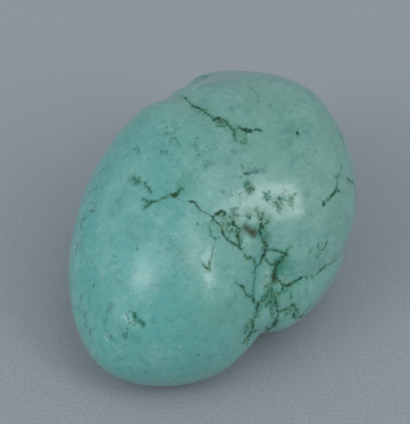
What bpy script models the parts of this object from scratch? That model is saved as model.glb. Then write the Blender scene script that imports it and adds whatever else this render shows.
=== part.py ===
"""A tumbled turquoise nugget: one solid stone, grown as rounded lobes with worn creases between them.

The stone lies on the ground plane on its own worn flats, with its longest side along Y and its origin at the
middle of its bounding box's underside. The model is in metres, +Z up. The sizes below are in millimetres, in
the frame in which the stone was laid out, before it is moved onto that origin.

The outside is the smooth union of a few ellipsoid lobes, less the creases, hollows and pits that are worn
into it. An ico sphere is the start: each of its points moves along its own ray from the heart of the stone
until it meets that surface. The edges are split where a crease or a pit needs finer faces.
"""

from dataclasses import dataclass

import bmesh
import bpy
import numpy as np
from mathutils import Euler

MM = 0.001
NAME = "nugget"
COLLECTION = "turquoise_nugget"


@dataclass(frozen=True)
class Lobe:
    """A rounded mass of the stone: an ellipsoid, turned in degrees, that melts into the lobes before it."""

    centre: tuple[float, float, float]
    radii: tuple[float, float, float]
    yaw: float = 0.0
    pitch: float = 0.0
    roll: float = 0.0
    blend: float = 0.0


@dataclass(frozen=True)
class Crease:
    """A valley along a route of points (x, y, z, depth there), or a ridge where the depth is below zero.

    A sharp one has a V for its section, and the others are rounded.
    """

    route: tuple[tuple[float, float, float, float], ...]
    half_width: float
    sharp: bool = False


@dataclass(frozen=True)
class Pit:
    """A chip, or a swelling where the depth is below zero."""

    centre: tuple[float, float, float]
    depth: float
    radius: float


# The lobes. Each melts into those above it over its blend.
FRONT = Lobe((-2.5, -15.0, 13.5), (11.5, 13.0, 14.0))
FLANK = Lobe((-7.5, -5.5, 20.5), (17.5, 26.5, 14.0), yaw=-18, pitch=30, roll=-29, blend=11.0)
BACK = Lobe((10.5, 7.0, 21.0), (16.5, 21.5, 16.5), yaw=17, pitch=5, roll=-5, blend=8.5)
FOOT = Lobe((16.5, -9.0, 12.5), (14.0, 5.5, 9.5), yaw=55, pitch=8, roll=31, blend=4.5)
SHOULDER = Lobe((2.5, 23.0, 23.0), (8.0, 5.5, 7.0), pitch=-5, blend=3.0)
BELLY = Lobe((1.0, 5.0, 12.5), (19.0, 18.0, 13.5), blend=5.0)
KEEL = Lobe((8.0, 1.0, 11.0), (13.0, 15.0, 12.0), blend=5.0)
LOBES = (FRONT, FLANK, BACK, FOOT, SHOULDER, BELLY, KEEL)

# The creases, hollows and pits. Their points are moved onto the lobes along the ray from the heart.
# The waist between the front and the back goes up the far left side and over the top as a crease.
WAIST = Crease(
    (
        (-8.0, 18.0, 3.0, 0.6),
        (-13.0, 19.0, 12.0, 1.0),
        (-11.5, 18.0, 24.0, 1.3),
        (-7.5, 15.5, 34.0, 1.3),
        (-4.0, 12.0, 38.0, 1.2),
        (0.5, 6.5, 39.5, 1.0),
        (6.0, 3.0, 38.5, 0.4),
        (9.0, 0.0, 37.0, 0.0),
    ),
    half_width=5.0,
    sharp=True,
)
# It is a broad saddle there, and then goes down the near right side as a deep valley.
VALLEY = Crease(
    (
        (8.5, -12.5, 30.0, 0.0),
        (10.0, -14.5, 27.5, 0.4),
        (12.0, -17.0, 25.5, 1.0),
        (12.0, -20.0, 23.0, 0.9),
        (11.5, -21.5, 20.0, 0.7),
        (11.0, -21.5, 15.0, 0.7),
        (9.5, -21.0, 9.0, 0.8),
        (6.0, -14.0, 1.5, 0.6),
    ),
    half_width=4.0,
    sharp=True,
)
# The second, finer line of the valley, nearer the front.
INNER_LINE = Crease(
    (
        (8.5, -22.5, 22.5, 0.0),
        (8.0, -24.0, 19.0, 0.25),
        (7.0, -24.5, 14.5, 0.35),
        (6.0, -22.0, 6.0, 0.3),
    ),
    half_width=3.0,
    sharp=True,
)
# The narrow ridge that stands between the two lines, down to the ground.
TONGUE = Crease(
    (
        (9.5, -23.0, 19.5, 0.0),
        (9.5, -23.0, 16.0, -0.6),
        (8.5, -21.0, 8.0, -0.8),
        (6.5, -17.0, 3.0, -0.4),
    ),
    half_width=2.2,
)
# The crease between the back and the foot, which runs off the waist at its deepest.
HEEL = Crease(
    (
        (13.5, -17.5, 24.0, 0.5),
        (14.5, -17.5, 22.8, 0.9),
        (16.5, -16.8, 21.6, 1.3),
        (19.5, -14.0, 19.5, 1.1),
        (23.0, -9.5, 17.5, 0.8),
        (26.0, -2.0, 14.0, 0.5),
        (25.0, 4.0, 10.0, 0.1),
    ),
    half_width=4.0,
    sharp=True,
)
# Broad, shallow worn hollows: in the front where fine veins cross it, and on the two far sides.
VEIN_HOLLOW = Crease(
    (
        (-3.5, -11.0, 35.0, 0.0),
        (1.5, -13.5, 33.5, 0.15),
        (8.0, -14.0, 30.0, 0.2),
        (11.0, -14.5, 27.0, 0.0),
    ),
    half_width=3.0,
)
BACK_HOLLOW = Crease(
    (
        (13.0, 25.0, 26.0, 0.2),
        (15.0, 23.0, 17.0, 0.8),
        (12.0, 22.0, 10.0, 0.8),
        (5.0, 20.0, 4.0, 0.3),
    ),
    half_width=5.0,
)
LEFT_HOLLOW = Crease(
    (
        (-24.0, 4.0, 24.0, 0.1),
        (-24.0, -2.0, 17.0, 0.5),
        (-20.0, -9.0, 10.0, 0.5),
        (-15.0, -15.0, 5.0, 0.1),
    ),
    half_width=5.0,
)
CREASES = (WAIST, VALLEY, INNER_LINE, TONGUE, HEEL, VEIN_HOLLOW, BACK_HOLLOW, LEFT_HOLLOW)

PITS = (
    Pit((-12.0, -26.5, 23.0), depth=0.35, radius=1.1),  # the chip low on the front
    Pit((-13.5, -26.8, 21.7), depth=-0.2, radius=1.4),  # and its raised lip
    Pit((22.0, 17.0, 28.0), depth=0.5, radius=4.0),  # a dimple on the back, out of sight
    Pit((-19.0, 10.0, 28.0), depth=0.4, radius=3.5),  # one on the far left side
    Pit((2.0, 27.0, 14.0), depth=0.7, radius=2.0),  # a chip under the shoulder
    Pit((-22.5, -12.0, 22.0), depth=-0.3, radius=5.0),  # a swelling on the left
)

HEART = np.array((0.0, 0.0, 18.0))  # every ray from here leaves the stone once
REACH = 45.0  # longer than any such ray inside the stone
HALVINGS = 40  # steps of the search along a ray
LEAST = 1e-9  # keeps a division from zero at a lobe's centre
GROUND = 0.9  # the height at which the underside is worn flat
GROUND_BLEND = 0.8  # how round the rim of the flats is
FLAT_WITHIN = 0.0005  # points this near the ground are on it

SPHERE_SUBDIVISIONS = 5
REFINE_ROUNDS = 3
OPEN_EDGE = 4.0  # the longest edge on the open surface
CREASE_EDGE = 1.3  # in a crease
CREASE_SHOWS = 0.15  # where it is at least this deep
PIT_EDGE = 0.55  # in a pit, as a share of its radius
PIT_REACH = 1.8  # as far as this many radii

STONE_COLOUR = (0.098, 0.310, 0.266, 1.0)  # linear
STONE_ROUGHNESS = 0.38


def lobe_distance(points, lobe):
    """How far each point is outside the lobe, and below zero inside it."""
    turn = Euler(np.radians((lobe.pitch, lobe.roll, lobe.yaw)), "YXZ").to_matrix()
    local = (points - np.array(lobe.centre)) @ np.array(turn)
    near = np.linalg.norm(local / np.array(lobe.radii), axis=1)
    steep = np.linalg.norm(local / np.square(lobe.radii), axis=1)
    return near * (near - 1.0) / np.maximum(steep, LEAST)


def smooth_min(first, second, blend):
    """The lesser of two distances, rounded off where they are within the blend of each other."""
    overlap = np.maximum(blend - np.abs(first - second), 0.0) / blend
    return np.minimum(first, second) - 0.25 * blend * overlap**2


def lobes_distance(points):
    """How far each point is outside the union of the lobes."""
    distance = lobe_distance(points, LOBES[0])
    for lobe in LOBES[1:]:
        distance = smooth_min(distance, lobe_distance(points, lobe), lobe.blend)
    return distance


def leave(directions, distance):
    """Where the ray from the heart in each direction leaves the surface on which the distance is zero."""
    near = np.zeros(len(directions))
    far = np.full(len(directions), REACH)
    for _ in range(HALVINGS):
        middle = (near + far) / 2
        inside = distance(HEART + directions * middle[:, None]) < 0
        near = np.where(inside, middle, near)
        far = np.where(inside, far, middle)
    return HEART + directions * near[:, None]


def onto_lobes(points):
    """The points, moved along their rays from the heart onto the lobes."""
    rays = np.array(points) - HEART
    return leave(rays / np.linalg.norm(rays, axis=1)[:, None], lobes_distance)


ROUTES = {crease: onto_lobes([stop[:3] for stop in crease.route]) for crease in CREASES}
PIT_CENTRES = onto_lobes([pit.centre for pit in PITS])


def crease_depth(points, crease):
    """How deep the crease is at each point, by its deepest stretch there."""
    depth = np.zeros(len(points))
    stops = ROUTES[crease]
    depths = [stop[3] for stop in crease.route]
    for start, end, first, last in zip(stops, stops[1:], depths, depths[1:]):
        run = end - start
        along = np.clip((points - start) @ run / (run @ run), 0.0, 1.0)
        away = np.linalg.norm(points - start - along[:, None] * run, axis=1) / crease.half_width
        profile = np.clip(1.0 - away, 0.0, 1.0) ** 2 if crease.sharp else np.exp(-(away**2))
        here = profile * (first + along * (last - first))
        depth = np.where(np.abs(here) > np.abs(depth), here, depth)
    return depth


def stone_distance(points):
    """How far each point is outside the stone, worn as it is."""
    distance = lobes_distance(points)
    for crease in CREASES:
        distance = distance + crease_depth(points, crease)
    for pit, centre in zip(PITS, PIT_CENTRES):
        away = np.linalg.norm(points - centre, axis=1) / pit.radius
        distance = distance + pit.depth * np.exp(-(away**2))
    return -smooth_min(-distance, points[:, 2] - GROUND, GROUND_BLEND)


def place(mesh):
    """Moves every point of the mesh, whose origin is the heart, along its ray onto the stone."""
    directions = np.array([vert.co.normalized() for vert in mesh.verts])
    for vert, point in zip(mesh.verts, leave(directions, stone_distance)):
        vert.co = point - HEART


def wanted_length(points):
    """The longest edge that still shows the creases and pits near each point."""
    length = np.full(len(points), OPEN_EDGE)
    for crease in CREASES:
        shows = np.abs(crease_depth(points, crease)) > CREASE_SHOWS
        length[shows] = CREASE_EDGE
    for pit, centre in zip(PITS, PIT_CENTRES):
        shows = np.linalg.norm(points - centre, axis=1) < PIT_REACH * pit.radius
        length[shows] = np.minimum(length[shows], PIT_EDGE * pit.radius)
    return length


def refine(mesh):
    """Splits the edges that are too long for what they cross, and places the new points."""
    for _ in range(REFINE_ROUNDS):
        edges = mesh.edges[:]
        middles = np.array([(edge.verts[0].co + edge.verts[1].co) / 2 for edge in edges]) + HEART
        most = wanted_length(middles)
        long = [edge for edge, length in zip(edges, most) if edge.calc_length() > length]
        bmesh.ops.subdivide_edges(mesh, edges=long, cuts=1, use_grid_fill=True)
        bmesh.ops.triangulate(mesh, faces=mesh.faces[:])
        place(mesh)


def stand(mesh):
    """Turns the mesh to metres, with its origin at the middle of its box's underside."""
    points = np.array([vert.co for vert in mesh.verts]) + HEART
    low, high = points.min(axis=0), points.max(axis=0)
    points -= np.array(((low[0] + high[0]) / 2, (low[1] + high[1]) / 2, GROUND))
    points[points[:, 2] < FLAT_WITHIN, 2] = 0.0
    for vert, point in zip(mesh.verts, points * MM):
        vert.co = point


def make_stone():
    """The stone's mesh: a sphere's points placed, refined, and standing on the flats."""
    mesh = bmesh.new()
    bmesh.ops.create_icosphere(mesh, subdivisions=SPHERE_SUBDIVISIONS, radius=1.0)
    place(mesh)
    refine(mesh)
    stand(mesh)
    data = bpy.data.meshes.new(NAME)
    mesh.to_mesh(data)
    mesh.free()
    data.shade_smooth()
    return data


def make_turquoise():
    """The stone's material: waxy blue-green turquoise."""
    material = bpy.data.materials.new("turquoise")
    material.use_nodes = True
    shader = material.node_tree.nodes["Principled BSDF"]
    shader.inputs["Base Color"].default_value = STONE_COLOUR
    shader.inputs["Roughness"].default_value = STONE_ROUGHNESS
    return material


def main():
    """Clears the scene and adds the stone in its own collection."""
    for thing in list(bpy.data.objects):
        bpy.data.objects.remove(thing)
    stone = bpy.data.objects.new(NAME, make_stone())
    stone.data.materials.append(make_turquoise())
    home = bpy.data.collections.new(COLLECTION)
    bpy.context.scene.collection.children.link(home)
    home.objects.link(stone)


main()
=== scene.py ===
"""A tumbled turquoise nugget: its waxed blue-green surface and the dark matrix seams that cross it.

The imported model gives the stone's form. A finer skin is wrapped over it, split along every seam, carved, and
painted with attributes that the stone's own material reads. A grey paper floor, the softboxes and the camera
stand round it. Sizes are in millimetres unless a name says otherwise, and Blender's own are metres.
"""

import logging
import math
from collections.abc import Iterable, Mapping, Sequence
from dataclasses import dataclass, field, replace
from enum import Enum
from functools import partial
from typing import Any

import bpy
import numpy as np
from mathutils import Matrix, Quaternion, Vector
from mathutils.bvhtree import BVHTree
from mathutils.kdtree import KDTree


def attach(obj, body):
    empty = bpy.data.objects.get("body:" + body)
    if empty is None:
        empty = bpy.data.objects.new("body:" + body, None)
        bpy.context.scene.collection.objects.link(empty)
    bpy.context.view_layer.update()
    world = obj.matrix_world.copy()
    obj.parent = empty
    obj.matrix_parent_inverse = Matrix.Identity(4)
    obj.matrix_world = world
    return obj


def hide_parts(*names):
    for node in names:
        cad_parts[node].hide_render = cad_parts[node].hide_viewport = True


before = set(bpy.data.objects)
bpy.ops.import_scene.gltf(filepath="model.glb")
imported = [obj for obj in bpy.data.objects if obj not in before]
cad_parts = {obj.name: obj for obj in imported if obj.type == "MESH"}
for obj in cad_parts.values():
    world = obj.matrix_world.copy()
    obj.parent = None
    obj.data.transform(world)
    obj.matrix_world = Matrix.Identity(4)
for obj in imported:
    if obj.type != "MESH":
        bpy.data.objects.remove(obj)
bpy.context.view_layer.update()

LOG = logging.getLogger("nugget")
MM = 0.001
NODE = "nugget"
BODY = "root"

Point = tuple[float, float]
Span = tuple[float, float]
Place = tuple[float, float, float]
Tree = bpy.types.NodeTree
Socket = bpy.types.NodeSocket
Colour = tuple[float, float, float, float]
# The share of what is under it that a wash of colour hides, and its colour.
Wash = tuple[Socket, Socket | Colour]

# The sockets of a Mix node that mixes colours, and of one that mixes numbers.
MIX_SHARE, MIX_UNDER, MIX_OVER, MIX_RESULT = 0, 6, 7, 2
MIX_LOW, MIX_HIGH = 2, 3

# Half the width of the finest line that the skin's faces can carry.
LEAST_HALF = 0.11
# The skin is split by every second point along a mark, and stained by every third.
SPLIT_EVERY, STAIN_EVERY = 2, 3
# How far a mark, a stain and a hollow are followed out, in half widths, reaches and radii.
MARK_OUT, STAIN_OUT, HOLLOW_OUT = 2.4, 2.0, 2.5

# Chance gives each point of a mark a share of its width and strength between these, first at the route's own
# points and then each time that the legs between them are halved.
FIRST_WIDTHS, FIRST_SHARES = (0.7, 1.25), (0.65, 1.1)
LATER_WIDTHS, LATER_SHARES = (0.74, 1.28), (0.72, 1.30)
HALVINGS = 5

# A spur turns off its seam by these radians, and its strength is a share of the seam's.
SPUR_TURNS, SPUR_STARTS, SPUR_LENGTHS = (0.5, 1.8), (0.05, 0.25), (0.08, 0.45)
SPUR_WIDTHS, SPUR_STRENGTHS = (0.16, 0.26), (0.45, 0.95)

# A peppering's strokes are scattered by a share of its spread and turn off its slope by some degrees. Their
# lengths are in the route's own numbers.
PEPPER_SCATTER, PEPPER_TURN = 0.5, 35.0
PEPPER_LENGTHS, PEPPER_STRENGTHS, PEPPER_WIDTHS = (0.6, 4.2), (0.6, 1.4), (0.24, 0.50)


def linear(hex_colour: str) -> Colour:
    """Turns an sRGB colour to the linear one that Blender's sockets take.

    Args:
        hex_colour: The colour as "#rrggbb".

    Returns:
        Red, green, blue and an alpha of 1.
    """
    channels = [int(hex_colour[start : start + 2], 16) / 255 for start in (1, 3, 5)]
    red, green, blue = [
        channel / 12.92 if channel <= 0.04045 else ((channel + 0.055) / 1.055) ** 2.4
        for channel in channels
    ]
    return red, green, blue, 1.0


def add_node(
    tree: Tree, kind: str, sockets: Mapping[str | int, Any] | None = None, **settings: Any
) -> bpy.types.Node:
    """Adds one node to a material, with its settings and its links.

    Args:
        tree: The material's node tree.
        kind: The node's type, without the "ShaderNode" before it.
        sockets: For each input, by name or number, the output that feeds it or its value.
        settings: The node's own properties.

    Returns:
        The new node.
    """
    made = tree.nodes.new("ShaderNode" + kind)
    for name, value in settings.items():
        setattr(made, name, value)
    for key, value in (sockets or {}).items():
        if isinstance(value, Socket):
            tree.links.new(value, made.inputs[key])
        else:
            made.inputs[key].default_value = value
    return made


@dataclass(frozen=True)
class Eye:
    """The camera, and how it maps the stone onto the picture."""

    target: Place = (-1.488, 1.084, 19.1)
    elevation_degrees: float = 50.0
    distance: float = 500.0
    lens: float = 235.85
    film: float = 36.0
    picture: tuple[int, int] = (410, 424)
    nearest: float = 10.0

    def axes(self) -> tuple[Vector, Vector, Vector]:
        """Gives the camera's right, up and backward directions."""
        tilt = math.radians(self.elevation_degrees)
        right = Vector((1.0, 0.0, 0.0))
        back = Vector((0.0, -math.cos(tilt), math.sin(tilt)))
        return right, back.cross(right), back

    def place(self) -> Vector:
        """Gives where the camera stands, in metres."""
        return (Vector(self.target) + self.axes()[2] * self.distance) * MM

    def ray(self, across: float, down: float) -> Vector:
        """Gives the direction from the camera through a point of the picture.

        Args:
            across: Pixels from the picture's left side.
            down: Pixels from its top.

        Returns:
            The direction, of length 1.
        """
        right, up, back = self.axes()
        width, height = self.picture
        pitch = self.film / max(self.picture)
        sideways = right * ((across - width / 2) * pitch)
        upwards = up * ((height / 2 - down) * pitch)
        return (sideways + upwards - back * self.lens).normalized()

    def build(self) -> bpy.types.Object:
        """Makes the camera and gives it to the scene.

        Returns:
            The camera.
        """
        bpy.ops.object.camera_add(location=self.place())
        camera = bpy.context.object
        camera.rotation_euler = self.axes()[2].to_track_quat("Z", "Y").to_euler()
        camera.data.lens = self.lens
        camera.data.sensor_width = self.film
        camera.data.sensor_fit = "AUTO"
        camera.data.clip_start = self.nearest * MM
        bpy.context.scene.camera = camera
        return camera


class Layer(Enum):
    """What the skin's attributes hold: each is the share of one pigment."""

    SEAM = "seam"
    THREAD = "thread"
    RUST = "rust"
    # Dull green stain beside the seams, which also paints shade in the pocket.
    STAIN = "stain"
    SMOKE = "smoke"
    # Pale chalky turquoise, and also painted highlights and painted light.
    CHALK_AND_PAINTED_LIGHT = "chalk_and_painted_light"
    # Deeper turquoise, which also paints shade in the pocket.
    TEAL = "teal"
    MOSS = "moss"

    @property
    def is_fine(self) -> bool:
        """Whether the layer is made of fine lines, which need finer faces under them."""
        return self in (Layer.SEAM, Layer.THREAD, Layer.SMOKE)

    @property
    def sheds_wax(self) -> bool:
        """Whether the layer is matrix or stone that it has soaked, too soft and open to keep the wax."""
        return self in (Layer.SEAM, Layer.THREAD, Layer.RUST, Layer.STAIN, Layer.MOSS)


class Aim(Enum):
    """How the two numbers of a route's point name a place on the stone."""

    PICTURE = "pixels across and down the picture"
    HEART = "degrees of azimuth and of elevation round the heart"

    @property
    def per_mm(self) -> float:
        """About how far a millimetre on the stone is in these numbers."""
        return 5.55 if self is Aim.PICTURE else 2.2


@dataclass(frozen=True)
class Mark:
    """A line of a pigment along a route, or with a single point a spot.

    Attributes:
        layer: The layer that it is painted on.
        strength: The share in its middle.
        width: How wide it is, where its share has fallen to half.
        route: The points that it passes.
        stain: The share of dull green beside it.
        reach: How far that stain reaches.
        groove: How deep it is worn into the stone.
        stray: How far it strays from its route, as a share of each leg's length.
        spurs: How many short side spurs it has for each millimetre.
        aim: What the route's numbers are.
    """

    layer: Layer
    strength: float
    width: float
    route: tuple[Point, ...]
    stain: float = 0.70
    reach: float = 0.50
    groove: float = 0.03
    stray: float = 0.12
    spurs: float = 0.5
    aim: Aim = Aim.PICTURE


@dataclass(frozen=True)
class Hollow:
    """A worn dent at a point of the picture, or a swelling where the depth is below zero."""

    centre: Point
    depth: float
    radius: float


def seam(strength: float, width: float, *route: Point, **more: Any) -> Mark:
    """Makes a dark seam of matrix along the route."""
    return Mark(Layer.SEAM, strength, width, route, **more)


def knot(strength: float, width: float, *route: Point, **more: Any) -> Mark:
    """Makes a knot of matrix, where seams meet or swell."""
    return seam(strength, width, *route, **{"stain": 0.75, "groove": 0.05, "stray": 0.05, **more})


def thread(strength: float, width: float, *route: Point, **more: Any) -> Mark:
    """Makes a fine olive thread along the route."""
    more = {"stain": 0.15, "groove": 0.02, "spurs": 0.2, **more}
    return Mark(Layer.THREAD, strength, width, route, **more)


def patch(layer: Layer, strength: float, width: float, *route: Point, **more: Any) -> Mark:
    """Makes a soft-edged patch of a layer along the route."""
    return Mark(layer, strength, width, route, **{"stain": 0.0, "groove": 0.0, "spurs": 0.0, **more})


def peppering(
    strength: float,
    seed: int,
    count: int,
    centre: Point,
    spread: Point,
    slope: float,
    layer: Layer = Layer.SMOKE,
) -> tuple[Mark, ...]:
    """Scatters short soft strokes of a layer round a place.

    Args:
        strength: Their usual share.
        seed: Of the scatter.
        count: How many strokes.
        centre: The middle of the scatter.
        spread: How far it reaches along and across, in the route's own numbers.
        slope: The direction that the strokes share, in degrees below the picture's horizontal.
        layer: What they are painted on.

    Returns:
        The strokes.
    """
    chance = np.random.default_rng(seed)
    strokes = []
    for _ in range(count):
        start = np.array(centre) + chance.normal(0.0, PEPPER_SCATTER, 2) * spread
        turn = math.radians(slope + chance.normal(0.0, PEPPER_TURN))
        end = start + np.array((math.cos(turn), math.sin(turn))) * chance.uniform(*PEPPER_LENGTHS)
        share, width = strength * chance.uniform(*PEPPER_STRENGTHS), chance.uniform(*PEPPER_WIDTHS)
        strokes.append(patch(layer, share, width, tuple(start), tuple(end)))
    return tuple(strokes)


# A patch of each layer, and a peppering of dark matrix. The pale patches also paint highlights and light, and
# some stain and teal patches paint shade in the pocket.
dark = partial(patch, Layer.SEAM)
stain = partial(patch, Layer.STAIN)
rust = partial(patch, Layer.RUST)
smoke = partial(patch, Layer.SMOKE)
chalk_and_painted_light = partial(patch, Layer.CHALK_AND_PAINTED_LIGHT)
teal = partial(patch, Layer.TEAL)
moss = partial(patch, Layer.MOSS)
freckles = partial(peppering, layer=Layer.SEAM)

# The seam over the top, in the waist between the two big lobes, with the loop that hangs from it.
TOP_SEAM = (
    seam(0.65, 0.22, (180, 96), (184, 97.4), (187, 100), (190, 103), (193.4, 104.8), (195.4, 106.4)),
    knot(1.3, 0.3, (184.6, 97.8)),
    knot(1.3, 0.26, (190, 102.8)),
    knot(1.3, 0.44, (194.8, 108.4), (197.8, 107.6), (199.6, 108.2)),
    seam(0.85, 0.36, (199.6, 108.2), (203, 110), (206, 113), (209, 115), (212.6, 117.6)),
    knot(1.3, 0.5, (214, 119.8), (216.6, 118.2), (219, 118)),
    knot(0.9, 0.34, (222, 119.4), (224.6, 120)),
    seam(0.65, 0.26, (216.6, 121.6), (220, 122.8), (224, 122.6)),
    rust(0.95, 0.9, (219, 120.4), (221.4, 121)),
    seam(0.85, 0.3, (224.6, 120.6), (227.4, 124), (231, 128.4)),
    seam(0.5, 0.22, (217, 126), (221.4, 126.4), (226, 126.2)),
    knot(1, 0.34, (231, 128.6), (234.4, 130)),
    seam(0.95, 0.32, (234.4, 129.8), (238, 128.2), (242, 128.9)),
    knot(1.4, 0.5, (242, 129), (246, 130)),
    knot(1.7, 0.64, (246, 130.2), (250, 131)),
    seam(0.55, 0.4, (250, 130.8), (254, 129.8), (258, 129.2), (262, 131.4), stain=0.6),
    seam(0.36, 0.4, (233.8, 131), (234.2, 134), (234.6, 138)),
    seam(0.34, 0.34, (235, 139.6), (238, 141.6), (241.6, 141.8), (244.6, 143.8)),
    seam(0.32, 0.3, (245.6, 132.4), (245, 136.6), (245.6, 143)),
    stain(0.4, 2.6, (203, 109), (211, 115), (220, 121), (231, 128), (246, 130)),
    moss(0.55, 5, (200, 112), (222, 124), (244, 136)),
    stain(0.3, 2.6, (239, 138)),
    chalk_and_painted_light(0.6, 0.7, (248.6, 135), (250.6, 134.2)),
    *freckles(0.4, 48, 10, (198, 108), (12, 6), 30),
    *freckles(0.4, 49, 12, (219, 121), (7, 4), 10),
    *freckles(0.26, 50, 8, (238, 133), (9, 7), 60),
)

# The two short seams high on the front, and the olive thread that leads from them to the web.
FRONT_SEAMS = (
    seam(0.5, 0.4, (132.4, 177.6), (134, 179), (136, 180.4), (138.4, 182), reach=0.9),
    seam(0.5, 0.3, (139.4, 177.4), (138.6, 178.6)),
    seam(0.45, 0.24, (138.6, 182), (142, 183)),
    knot(0.55, 0.32, (145.4, 182.4), (145.2, 185)),
    seam(0.55, 0.36, (145.4, 185), (148.4, 188), (150, 190.6), (151.2, 192.6)),
    stain(0.55, 2, (133, 182), (138, 184)),
    stain(0.35, 1.6, (147, 188)),
    seam(0.6, 0.32, (143, 199.4), (145.4, 199.8), (148.6, 201.4)),
    knot(1.05, 0.44, (150, 202.2), (149.4, 204.2)),
    seam(0.6, 0.34, (149.2, 204.4), (147.4, 206), (144.8, 207.2), stain=0.7),
    seam(0.95, 0.34, (150.2, 202), (155.4, 201.4)),
    seam(0.75, 0.24, (155.4, 201.4), (160.4, 199.2), (165.6, 196.6), (170, 194.8)),
    knot(1.1, 0.46, (171, 194.6), (174, 195.2)),
    knot(1.4, 0.56, (174, 195.4), (176.4, 194.4), groove=0.08),
    seam(0.6, 0.28, (177.2, 193.2), (179, 190.8), (181.2, 188.8), (184, 188.6), stain=0.8),
    stain(0.5, 1.3, (180, 188), (178, 183)),
    stain(0.55, 1.3, (184, 186)),
    thread(0.5, 0.22, (163, 198.6), (170, 197.8), (177, 198), (183, 200.4), (190, 201.8)),
    knot(0.95, 0.4, (191, 201.6), (194.6, 202), stain=0.7),
    thread(1, 0.36, (195, 202.4), (197.6, 206.4), (200.4, 209.6), stain=0.4),
    thread(0.85, 0.28, (200.4, 209.6), (204, 211.4), (208.6, 214), (213, 217.6), stain=0.3),
    smoke(0.75, 0.3, (183.4, 171), (183.2, 175)),
    *freckles(0.3, 51, 8, (136, 181), (5, 4), 40),
    *freckles(0.4, 52, 8, (148, 203), (5, 4), 150),
    *peppering(0.58, 53, 8, (179, 188), (5, 5), 110, layer=Layer.STAIN),
)

# The web of fine seams round the rust patch, where the front meets the saddle.
WEB = (
    knot(1.3, 0.48, (213.6, 216.6), (213.4, 219)),
    seam(0.5, 0.22, (212.8, 219.6), (210.2, 222.6), (209.4, 227.6), (210.8, 233.4), (213.4, 237)),
    seam(0.65, 0.26, (213.6, 237.4), (216.2, 238.2)),
    thread(0.6, 0.22, (215.4, 239), (214.6, 245), (212.6, 253), (210.6, 260)),
    seam(0.5, 0.3, (203.4, 264.6), (206, 267.6), (208, 268.6), (209, 264), (209.6, 261.6), spurs=2),
    seam(0.4, 0.24, (207.6, 268.6), (208, 271.6)),
    knot(1.15, 0.42, (215.8, 214.4), (218, 213.6)),
    seam(0.9, 0.34, (218, 213.4), (220.6, 211.4), (223.4, 211)),
    knot(1.15, 0.54, (224.4, 211.8), (224.8, 214.4)),
    seam(0.6, 0.26, (224.4, 215.4), (221.6, 216), (219, 215)),
    chalk_and_painted_light(0.8, 0.35, (221.6, 213.6)),
    seam(0.75, 0.3, (214.4, 219.4), (217, 222.4), (220, 224.4)),
    seam(0.7, 0.24, (220, 224.4), (221.6, 227), (222.4, 229.4)),
    knot(1.25, 0.52, (222.6, 230.6), (222.6, 232.6)),
    seam(0.95, 0.36, (222.8, 233), (224, 236), (226.6, 239)),
    seam(0.85, 0.34, (226.6, 239), (230, 241.4), (233.4, 243.2)),
    knot(0.95, 0.34, (233.4, 243.4), (234.6, 244.2)),
    seam(0.75, 0.3, (234.6, 244), (238.4, 246), (240.4, 248.4), (241.8, 250)),
    seam(0.6, 0.24, (224.8, 216), (226.4, 219.6), (227.8, 222.4)),
    knot(0.85, 0.36, (228.4, 223), (229.4, 226)),
    seam(0.8, 0.26, (229.6, 226), (231, 224.6)),
    knot(0.55, 0.5, (232.4, 209.6), (235, 209), (237.8, 208.2)),
    seam(0.7, 0.4, (233.8, 210.4), (233.6, 214), (233.2, 218.4)),
    seam(0.5, 0.3, (230, 217), (233, 218.6)),
    knot(1.15, 0.58, (233.4, 222.4), (233.6, 225)),
    seam(0.9, 0.36, (231, 223.6), (233, 225.6)),
    seam(0.8, 0.3, (234.4, 224.8), (237.4, 227), (240, 228.6)),
    seam(0.7, 0.22, (240, 228.6), (240.6, 231), (238.6, 232.8), (236.2, 231.4), (236.4, 228.6)),
    seam(0.45, 0.26, (232.8, 228), (231.6, 231), (229.6, 233.6)),
    knot(1.1, 0.46, (237.2, 234.4), (238.2, 237.4), (239, 239.6)),
    seam(0.8, 0.28, (239.4, 240), (242.2, 240.8)),
    seam(0.75, 0.26, (239, 240.6), (239.6, 243.6), (240.2, 246.6)),
    stain(0.36, 3.6, (221, 222), (231, 218), (238, 230), (231, 238)),
    moss(0.8, 3.4, (221, 224), (231, 218), (240, 230), (252, 246)),
    stain(0.45, 1.6, (217, 231), (220, 238)),
    rust(1.2, 1.5, (246.4, 227.4), (249, 229.6), (253, 233), stray=0.04),
    dark(0.26, 0.8, (250.6, 231), (254, 233.6)),
    stain(0.3, 2.4, (247, 228), (253, 234)),
    chalk_and_painted_light(0.5, 1.6, (245, 240), (252, 242)),
    knot(0.75, 0.34, (248, 216.6), (250, 218), stain=0.3),
    stain(0.6, 1.6, (245.6, 212.8), (250, 216)),
    smoke(0.45, 1.3, (248, 214.6)),
    seam(0.6, 0.26, (254, 236.4), (255.6, 237.4)),
    *freckles(0.4, 32, 12, (221, 214), (5, 3.4), 30),
    *freckles(0.4, 33, 12, (233.6, 218), (4, 9), 80),
    *freckles(0.4, 34, 12, (226, 228), (5, 9), 60),
    *freckles(0.4, 35, 12, (238, 236), (3.6, 8), 70),
    *freckles(0.4, 36, 7, (216, 225), (4, 6), 70),
)

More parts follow.
